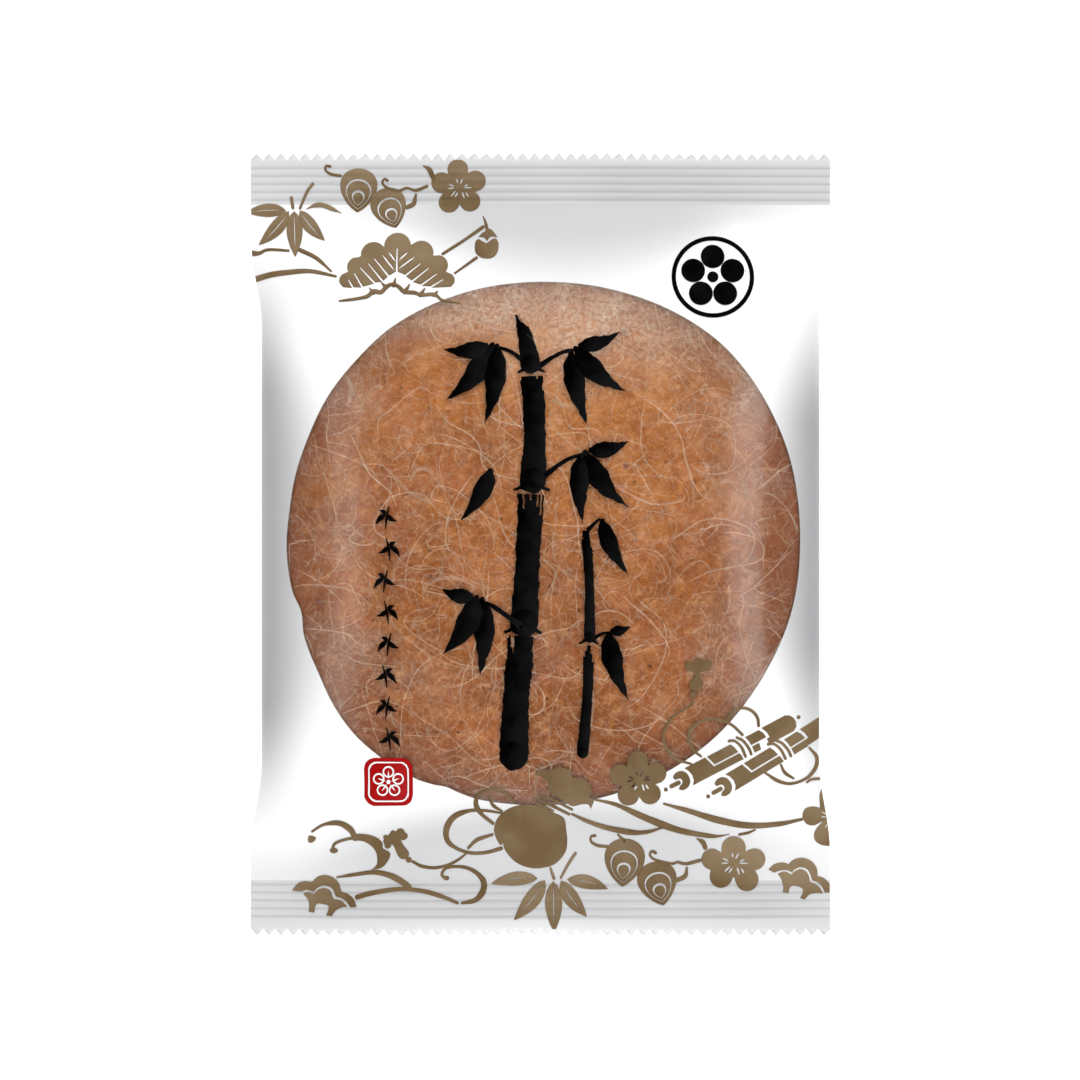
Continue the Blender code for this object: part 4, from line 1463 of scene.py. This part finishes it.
# flower that runs off the right side
shape(gold, ((45.1, -46.8), (45.5, -45.5), (46.8, -45.1), (48.2, -45.4), (49.4, -46.3), (50.2, -47.3),
    (48.4, -47.8), (47.1, -48.4), (45.8, -48.1)), slit((48.5, -46.1), (49.3, -46.45), 0.2),
    slit((48.3, -46.95), (49.3, -46.95), 0.2))
shape(gold, ((48.3, -48.1), (49.7, -47.4), (51.0, -48.5), (51.0, -51.6), (48.9, -51.9), (47.4, -51.1),
    (47.2, -49.6)), slit((49.55, -48.15), (49.0, -48.9), 0.18))
shape(gold, ((48.5, -42.1), (48.5, -42.1), (48.1, -43.0), (48.1, -44.2), (48.2, -45.5), (48.2, -45.5),
    (49.6, -46.3), (49.6, -46.3), (49.1, -44.0)))


# a paper roll, in millimetres along it and across it; some spots depend on where its title strip ends
scrollForm = {
    "half": 1.65,
    "label": ((11.7, 1.57), (14.3, 1.57), (14.75, 0.9), (14.95, 0.1), (14.9, -0.14), (12.0, -0.14),
              (11.95, 0.7)),
    "tail": ((14.95, 1.65), (19.5, 1.65), (20.2, 1.3), (20.65, 0.6), (20.75, -0.2), (20.4, -1.0),
             (19.7, -1.45), (14.9, -1.5), (14.9, -0.42), (15.5, -0.42), (15.4, 0.6)),
    "cords": ((((8.95, 2.3), (9.8, 1.85), (10.35, 0.4), (10.25, -1.4)), (0.5, 0.45, 0.5, 0.5)),
              (((10.4, 2.2), (11.1, 1.2), (11.4, -0.4), (11.3, -1.5)), (0.45, 0.5, 0.5, 0.5))),
    # its near end hooks round the rod, whose tip is a dot of its own
    "hook": ((-2.5, 1.1), (-1.82, 1.6), (-0.8, 1.55), (-0.12, 0.9), (0.05, -0.1), (-0.2, -0.95),
             (-0.87, -1.53), (-1.88, -1.62), (-2.5, -1.1), (-2.05, -0.72), (-1.5, -0.55), (-1.25, -0.08),
             (-1.38, 0.4), (-1.8, 0.58), (-2.28, 0.6)),
    "rod": (((-3.4, -0.08), (-2.0, -0.12)), 0.74),
    "tips": (((-4.5, -0.15), (21.5, 0.25)), 0.34),
}


def rolledScroll(start, lean, strip, lowerStrips):
    alongX, alongY, half = math.cos(math.radians(lean)), math.sin(math.radians(lean)), scrollForm["half"]

    def at(along, across):
        return start[0] + alongX * along - alongY * across, start[1] + alongY * along + alongX * across

    def block(*spots):
        fillLoops(gold, [at(*spot) for spot in spots])

    block((0, half), (strip, half), (strip + 0.3, 0.8), (strip + 0.68, -0.42), (9.6, -0.42), (9.72, -0.9),
          (9.76, -half), (-0.05, -half), (0.5, -1.0), (0.67, 0), (0.45, 0.9))
    block((strip + 0.35, half), (8.9, half), (9.3, 0.8), (9.5, -0.14), (strip + 0.92, -0.14),
          (strip + 0.7, 0.7))
    block(*scrollForm["label"])
    for first, last in lowerStrips:
        block((first, -0.42), (last, -0.42), (last - 0.2, -1.6), (first - 0.1, -1.6))
    block(*scrollForm["tail"])
    for spots, widths in scrollForm["cords"]:
        stroke(gold, [at(*spot) for spot in spots], widths)
    block(*smoothLine(scrollForm["hook"], closed=True))
    rod, width = scrollForm["rod"]
    stroke(gold, [at(*spot) for spot in rod], width)
    tips, radius = scrollForm["tips"]
    for tip in tips:
        dot(gold, *at(*tip), radius)


toneAndSheen(0.12)
rolledScroll((25.42, -39.83), 27.5, 3.97, ((12.05, 13.4),))
rolledScroll((32.56, -40.82), 30.7, 3.3, ((12.05, 15.0),))
toneAndSheen(0.1)
print("print at the lower right made")


# brush painting of bamboo down the middle, in black
brushForm = {
    "step": 0.5, "lane": 0.32, "leastLanes": 4,
    # ragged sides: the noise along them, a seed for each, and the noise's own settings
    "raggedness": (0.42, (3.3, 8.8), (0.6, 2.1, 3)),
    # where it runs dry: the noise across and along the lanes, its seed,
    # and how soon the middle and the sides go bare
    "bare": (1.37, 0.11, 20, 0.55, 0.6),
    # rounded end: the least half width that gets one, its spots, and how uneven it is
    "cap": (0.4, 22, 0.12, 0.9),
    "leafAt": (0, 0.2, 0.45, 0.7, 1), "leafWidths": (0.22, 0.85, 1.0, 0.72, 0.34), "leafTip": 0.08,
    "leafDryFrom": 0.45, "leafRough": 0.035, "leafLane": 0.26,
}


def brush(ink, spots, widths, dryFrom, dryness, rough, seed, lane=brushForm["lane"]):
    # a loaded brush: ragged sides, and bare streaks where it runs dry
    form = brushForm
    line = smoothLine(spots, step=form["step"])
    widest = max(widths)
    lanes = max(form["leastLanes"], round(widest / lane))
    wave, sideSeeds, settings = form["raggedness"]
    verts, faces = [], []
    for index, (x, y, share, sideX, sideY) in enumerate(alongLine(line)):
        half = widthAt(widths, share) / 2
        left, right = [half + rough * widest * fractal(index * wave, seed, side, settings)
                       for side in sideSeeds]
        for k in range(lanes + 1):
            across = blendOf(-left, right, k / lanes)
            verts.append((x + sideX * across, y + sideY * across))
    laneWave, lengthWave, shift, dryMiddle, drySides = form["bare"]
    for index in range(len(line) - 1):
        dry = dryness * smoothStep(index / (len(line) - 1), dryFrom, 1.0) if dryFrom < 1 else 0.0
        for k in range(lanes):
            bare = noise.noise(Vector((k * laneWave, index * lengthWave, seed + shift))) * 0.5 + 0.5
            edge = abs(2 * (k + 0.5) / lanes - 1)
            if not dry or bare >= dry * (dryMiddle + drySides * edge):
                corner = index * (lanes + 1) + k
                faces.append((corner, corner + 1, corner + lanes + 2, corner + lanes + 1))
    placeFigure(ink, verts, faces)
    least, capSpots, uneven, wave = form["cap"]
    for end in (0, -1):   # rounded ends
        half = widthAt(widths, -end) / 2
        if half > least and not (end == -1 and dryFrom < 1):
            cap = []
            for k in range(capSpots):
                reach = half * (1 + uneven * noise.noise(Vector((k * wave, seed, 4))))
                turn = 2 * math.pi * k / capSpots
                cap.append((line[end][0] + reach * math.cos(turn), line[end][1] + reach * math.sin(turn)))
            fillLoops(ink, cap)


def brushLeaf(ink, base, tip, width, bend, seed, dryness=0.0):
    # pressed down, then lifted off to a point
    form = brushForm
    run, sideX, sideY = aheadAndAside(base, tip)
    middle = [bentSpot(base, tip, bend, share, sideX, sideY) for share in form["leafAt"]]
    widths = [width * part for part in form["leafWidths"]] + [form["leafTip"]]
    dryFrom = form["leafDryFrom"] if dryness else 1.0
    brush(ink, middle, widths, dryFrom, dryness, form["leafRough"], seed, form["leafLane"])


bambooPainting = {
    # spots, widths, from where it runs dry and how much
    "stalks": (
        (((-4.6, -36.2), (-4.2, -27), (-3.2, -15.6)), (5.0, 4.5, 4.7), 0.55, 0.42),
        (((-2.8, -13.4), (-2.2, -3), (-1.6, 8.6)), (4.8, 4.1, 4.5), 0.6, 0.5),
        (((-1.3, 10.9), (-1.0, 19), (-1.4, 28.8)), (4.4, 3.7, 3.9), 0.6, 0.42),
        (((-1.7, 30.9), (-2.6, 35.5), (-4.1, 39.4)), (3.4, 2.6, 0.9), 0.35, 0.45),
        (((7.2, -35.6), (8.0, -26), (8.3, -17.2)), (2.0, 1.7, 1.9), 0.5, 0.5),
        (((8.4, -15.8), (8.3, -6), (7.7, 2.4)), (1.9, 1.6, 1.8), 0.55, 0.55),
    ),
    # the joints of the stalks, then the twigs
    "joints": (
        (((-6.2, -15.0), (-3.0, -13.9), (0.2, -15.1)), (0.5, 1.3, 0.5)),
        (((-4.6, 9.3), (-1.5, 10.3), (1.6, 9.2)), (0.5, 1.2, 0.5)),
        (((-3.9, 29.4), (-1.5, 30.4), (0.8, 29.5)), (0.4, 1.1, 0.4)),
        (((6.6, -16.9), (8.3, -16.1), (9.9, -17.0)), (0.3, 0.8, 0.3)),
        (((-1.4, 30.2), (-5.5, 33.2), (-8.8, 33.8)), (1.0, 0.7, 0.5)),
        (((-0.8, 30.2), (3.5, 32.8), (6.6, 33.4)), (1.0, 0.7, 0.5)),
        (((-1.2, 10.2), (4.0, 14.2), (7.9, 15.6)), (1.1, 0.8, 0.6)),
        (((-3.0, -14.2), (-8.0, -10.6), (-11.2, -9.4)), (1.1, 0.8, 0.6)),
        (((8.0, 2.4), (9.4, 3.8), (10.2, 4.4)), (0.8, 0.6, 0.4)),
        (((8.3, -16.4), (10.6, -15.2), (12.0, -15.0)), (0.8, 0.6, 0.4)),
    ),
    # base, tip, width, bend, dryness
    "leaves": (
        ((-8.2, 34.2), (-16.2, 24.6), 3.9, 0.9, 0.0), ((-7.4, 34.0), (-9.6, 20.4), 3.7, 0.6, 0.35),
        ((-8.9, 34.2), (-16.6, 33.4), 3.0, 0.7, 0.0), ((6.0, 33.6), (14.6, 26.2), 3.8, -0.9, 0.0),
        ((5.2, 33.2), (8.0, 20.2), 3.6, -0.5, 0.4), ((6.4, 34.0), (13.6, 36.4), 2.7, -0.6, 0.0),
        ((7.6, 15.8), (14.9, 6.4), 3.8, -0.9, 0.0), ((6.8, 15.2), (7.2, 3.6), 3.4, -0.4, 0.35),
        ((8.2, 16.2), (15.0, 17.6), 2.9, -0.6, 0.0), ((-10.9, -9.0), (-16.9, -18.8), 4.0, 1.0, 0.0),
        ((-9.9, -9.3), (-10.4, -22.6), 3.7, 0.5, 0.4), ((-11.4, -8.8), (-16.8, -7.6), 2.8, 0.5, 0.0),
        ((11.6, -14.8), (15.0, -26.6), 3.6, -0.7, 0.3), ((10.4, 4.4), (15.0, -5.2), 3.0, -0.6, 0.0),
        ((11.9, -14.7), (15.4, -14.0), 1.9, -0.3, 0.0), ((-8.4, 13.0), (-13.6, 4.2), 3.2, 0.7, 0.3),
    ),
    "stalkRough": 0.05, "jointRough": 0.08, "seeds": ((1.3, 2.7), (30, 1.9), (50, 2.3)),
}


def paintBamboo():
    (stalkSeed, stalkStep), (jointSeed, jointStep), (leafSeed, leafStep) = bambooPainting["seeds"]
    for index, settings in enumerate(bambooPainting["stalks"]):
        brush(black, *settings, bambooPainting["stalkRough"], stalkSeed + index * stalkStep)
    for index, settings in enumerate(bambooPainting["joints"]):
        brush(black, *settings, 1.0, 0, bambooPainting["jointRough"], jointSeed + index * jointStep)
    for index, (base, tip, width, bend, dryness) in enumerate(bambooPainting["leaves"]):
        brushLeaf(black, base, tip, width, bend, leafSeed + index * leafStep, dryness)


# small sprigs in a column beside it: how far each leaf reaches and its width, and the stem
inkSprigs = {
    "x": -26.25, "top": 4.6, "pitch": 5.42, "count": 8, "sway": (0.35, 2.1), "seed": 90,
    "leaves": ((1.9, -1.3, 0.95), (1.3, 1.2, 0.8), (-1.8, -0.6, 0.9)), "base": (0.25, 0.5), "bend": 0.25,
    "stem": ((-0.4, 1.9), (0, 0.2), (0.25, -1.9)), "stemWidths": (0.2, 0.45, 0.2),
}


def paintSprigs():
    form = inkSprigs
    for index in range(form["count"]):
        sway, turn = form["sway"]
        x = form["x"] + sway * math.sin(index * turn)
        y = form["top"] - form["pitch"] * index
        flip = 1 if index % 2 else -1
        baseX, baseY = form["base"]
        for reachX, reachY, width in form["leaves"]:
            base, tip = (x + baseX * flip * (reachX > 0), y + baseY), (x + flip * reachX, y + reachY)
            brushLeaf(black, base, tip, width, form["bend"] * flip, form["seed"] + index)
        stroke(black, [(x + side * flip, y + up) for side, up in form["stem"]], form["stemWidths"])


# plum crest at the upper right: rings and dots, each with its spokes
crestForm = {
    "x": 29.6, "y": 46.0, "size": 7.1, "line": 0.75, "spokes": 72,
    "petal": (2.05, 1, 30), "out": 3.55, "middle": (0.95, 1, 24),
}


def paintCrest():
    x, y, size, spokes = [crestForm[key] for key in ("x", "y", "size", "spokes")]
    fillLoops(black, *[ring(x, y, radius, 1, spokes) for radius in (size, size - crestForm["line"])])
    for spot in fiveRound(x, y, crestForm["out"]):
        dot(black, *spot, *crestForm["petal"])
    dot(black, x, y, *crestForm["middle"])


# red seal with a white flower in a white frame; a square is given by its inset and how unsteady its line is
sealForm = {
    "x": -26.08, "y": -40.72, "half": 4.15, "corner": 1.85, "cornerShrink": 0.55, "cornerParts": 8,
    "wander": (0.7, 0.31, 9), "whole": (0, 0.14), "inner": (0.92, 0.08), "frame": (0.66, 0.08),
    "innerSheen": (0.1, -0.3, 0.35),
    "petal": 1.0, "petalLine": 0.27, "out": 1.75, "spokes": 24,
    "vein": (0.55, 1.95, 0.24), "middle": (0.36, 1, 16),
}


def sealSquare(inset, jitter):
    form = sealForm
    spots, radius = [], form["corner"] - inset * form["cornerShrink"]
    reach = form["half"] - inset - radius
    alongWave, startWave, insetWave = form["wander"]
    for cornerX, cornerY, start in ((1, 1, 0), (-1, 1, 90), (-1, -1, 180), (1, -1, 270)):
        for k in range(form["cornerParts"] + 1):
            wander = jitter * noise.noise(Vector((k * alongWave, start * startWave, inset * insetWave)))
            spots.append(polar(form["x"] + cornerX * reach, form["y"] + cornerY * reach, radius + wander,
                               start + 90 * k / form["cornerParts"]))
    return spots


def stampSeal():
    form = sealForm
    x, y = form["x"], form["y"]
    fillLoops(red, sealSquare(*form["whole"]))
    # painted sheen on the red, lighter to the lower right
    toneAndSheen(*form["innerSheen"])
    fillLoops(red, sealSquare(*form["inner"]))
    toneAndSheen(0.1)
    fillLoops(white, sealSquare(*form["frame"]), sealSquare(*form["inner"]))
    near, far, veinWidth = form["vein"]
    for petal, low, high in zip(*[fiveRound(x, y, out) for out in (form["out"], near, far)]):
        radii = form["petal"], form["petal"] - form["petalLine"]
        fillLoops(white, *[ring(*petal, radius, 1, form["spokes"]) for radius in radii])
        leaf(white, low, high, veinWidth, 0, 0)
    dot(white, x, y, *form["middle"])


# painted sheen on the black painting, lighter to the lower right
toneAndSheen(0.05, -0.25, 0.5)
paintBamboo()
toneAndSheen(0.1)
paintSprigs()
paintCrest()
stampSeal()


def makePrint(ink):
    layer = inkLayers[ink]
    piece = makePiece(ink, layer["verts"], layer["faces"], inkMaterials[ink])
    addLayer(piece, "light", layer["light"])
    wall = piece.modifiers.new("ink", "SOLIDIFY")
    wall.thickness, wall.offset = printing["thickness"] * mm, -1
    print(ink, len(piece.data.polygons), "faces,", layer["figures"], "figures")
    return piece


printPieces = {ink: makePrint(ink) for ink in inkNames}


studio = {
    # metres; the floor's colour, its roughness and its glow
    "floor": (3.0, 0.9, 0.9, 0.45),
    "strips": (   # direction from straight up, radiance, size across and along the pack
        ("lightLeft", -31, 2.3, (0.21, 0.95)),
        ("lightRight", 35, 4.6, (0.23, 0.95)),
    ),
    "distance": 1.2,
    # the sky is dim overhead and to both sides, and bright past the top and bottom ends of the pack
    "sky": 0.16, "skyTop": (2.5, 0.42, 0.66), "skyBottom": (2.9, 0.55, 0.75),
}


def addFloor():
    size, grey, rough, glow = studio["floor"]
    half = size / mm
    material, graph, shader = newMaterial("floorPaper")
    graph.fill(shader, {"Base Color": (grey,) * 3, "Roughness": rough, "Emission Color": (1, 1, 1),
                        "Emission Strength": glow})
    corners = [(-half, -half, 0), (half, -half, 0), (half, half, 0), (-half, half, 0)]
    makePiece("floor", corners, [(0, 1, 2, 3)], material)


def addLights():
    for name, lean, radiance, size in studio["strips"]:
        data = bpy.data.lights.new(name, "AREA")
        data.shape = "RECTANGLE"
        data.size_y, data.size = size
        data.energy = radiance * math.pi * size[0] * size[1]
        light = bpy.data.objects.new(name, data)
        away = Vector((math.sin(math.radians(lean)), 0, math.cos(math.radians(lean)))).normalized()
        light.location = away * studio["distance"]
        light.rotation_euler = away.to_track_quat("Z", "Y").to_euler()
        bpy.context.scene.collection.objects.link(light)


def addSky():
    world = bpy.data.worlds.new("studioSky")
    world.use_nodes = True
    graph = Graph(world.node_tree)
    direction = graph.add("ShaderNodeTexCoord").outputs["Generated"]
    along = graph.add("ShaderNodeSeparateXYZ", {0: direction}).outputs["Y"]
    strength = studio["sky"]
    for sign, (bright, low, high) in ((1, studio["skyTop"]), (-1, studio["skyBottom"])):
        end = graph.mapped(along, sign * low, sign * high, 0.0, bright)
        strength = graph.maths("ADD", end, strength)
    graph.fill(graph.nodes["Background"], {"Strength": strength, "Color": (1, 1, 1)})
    bpy.context.scene.world = world


addFloor()
addLights()
addSky()
bpy.context.scene.view_settings.view_transform = "Standard"
print("stage and light made")

slots = [(film, "film"), (fin, "film"), (cakeTop, "crust"), (cakeBottom, "crust"), (beanPaste, "bean_paste")]
slots += zip(printPieces.values(), ("gold_print", "black_print", "red_print", "white_print"))
slots += [(piece, "film") for piece in fibrePieces]
for piece, slot in slots:
    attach(piece, "root")
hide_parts("dorayaki_pack")
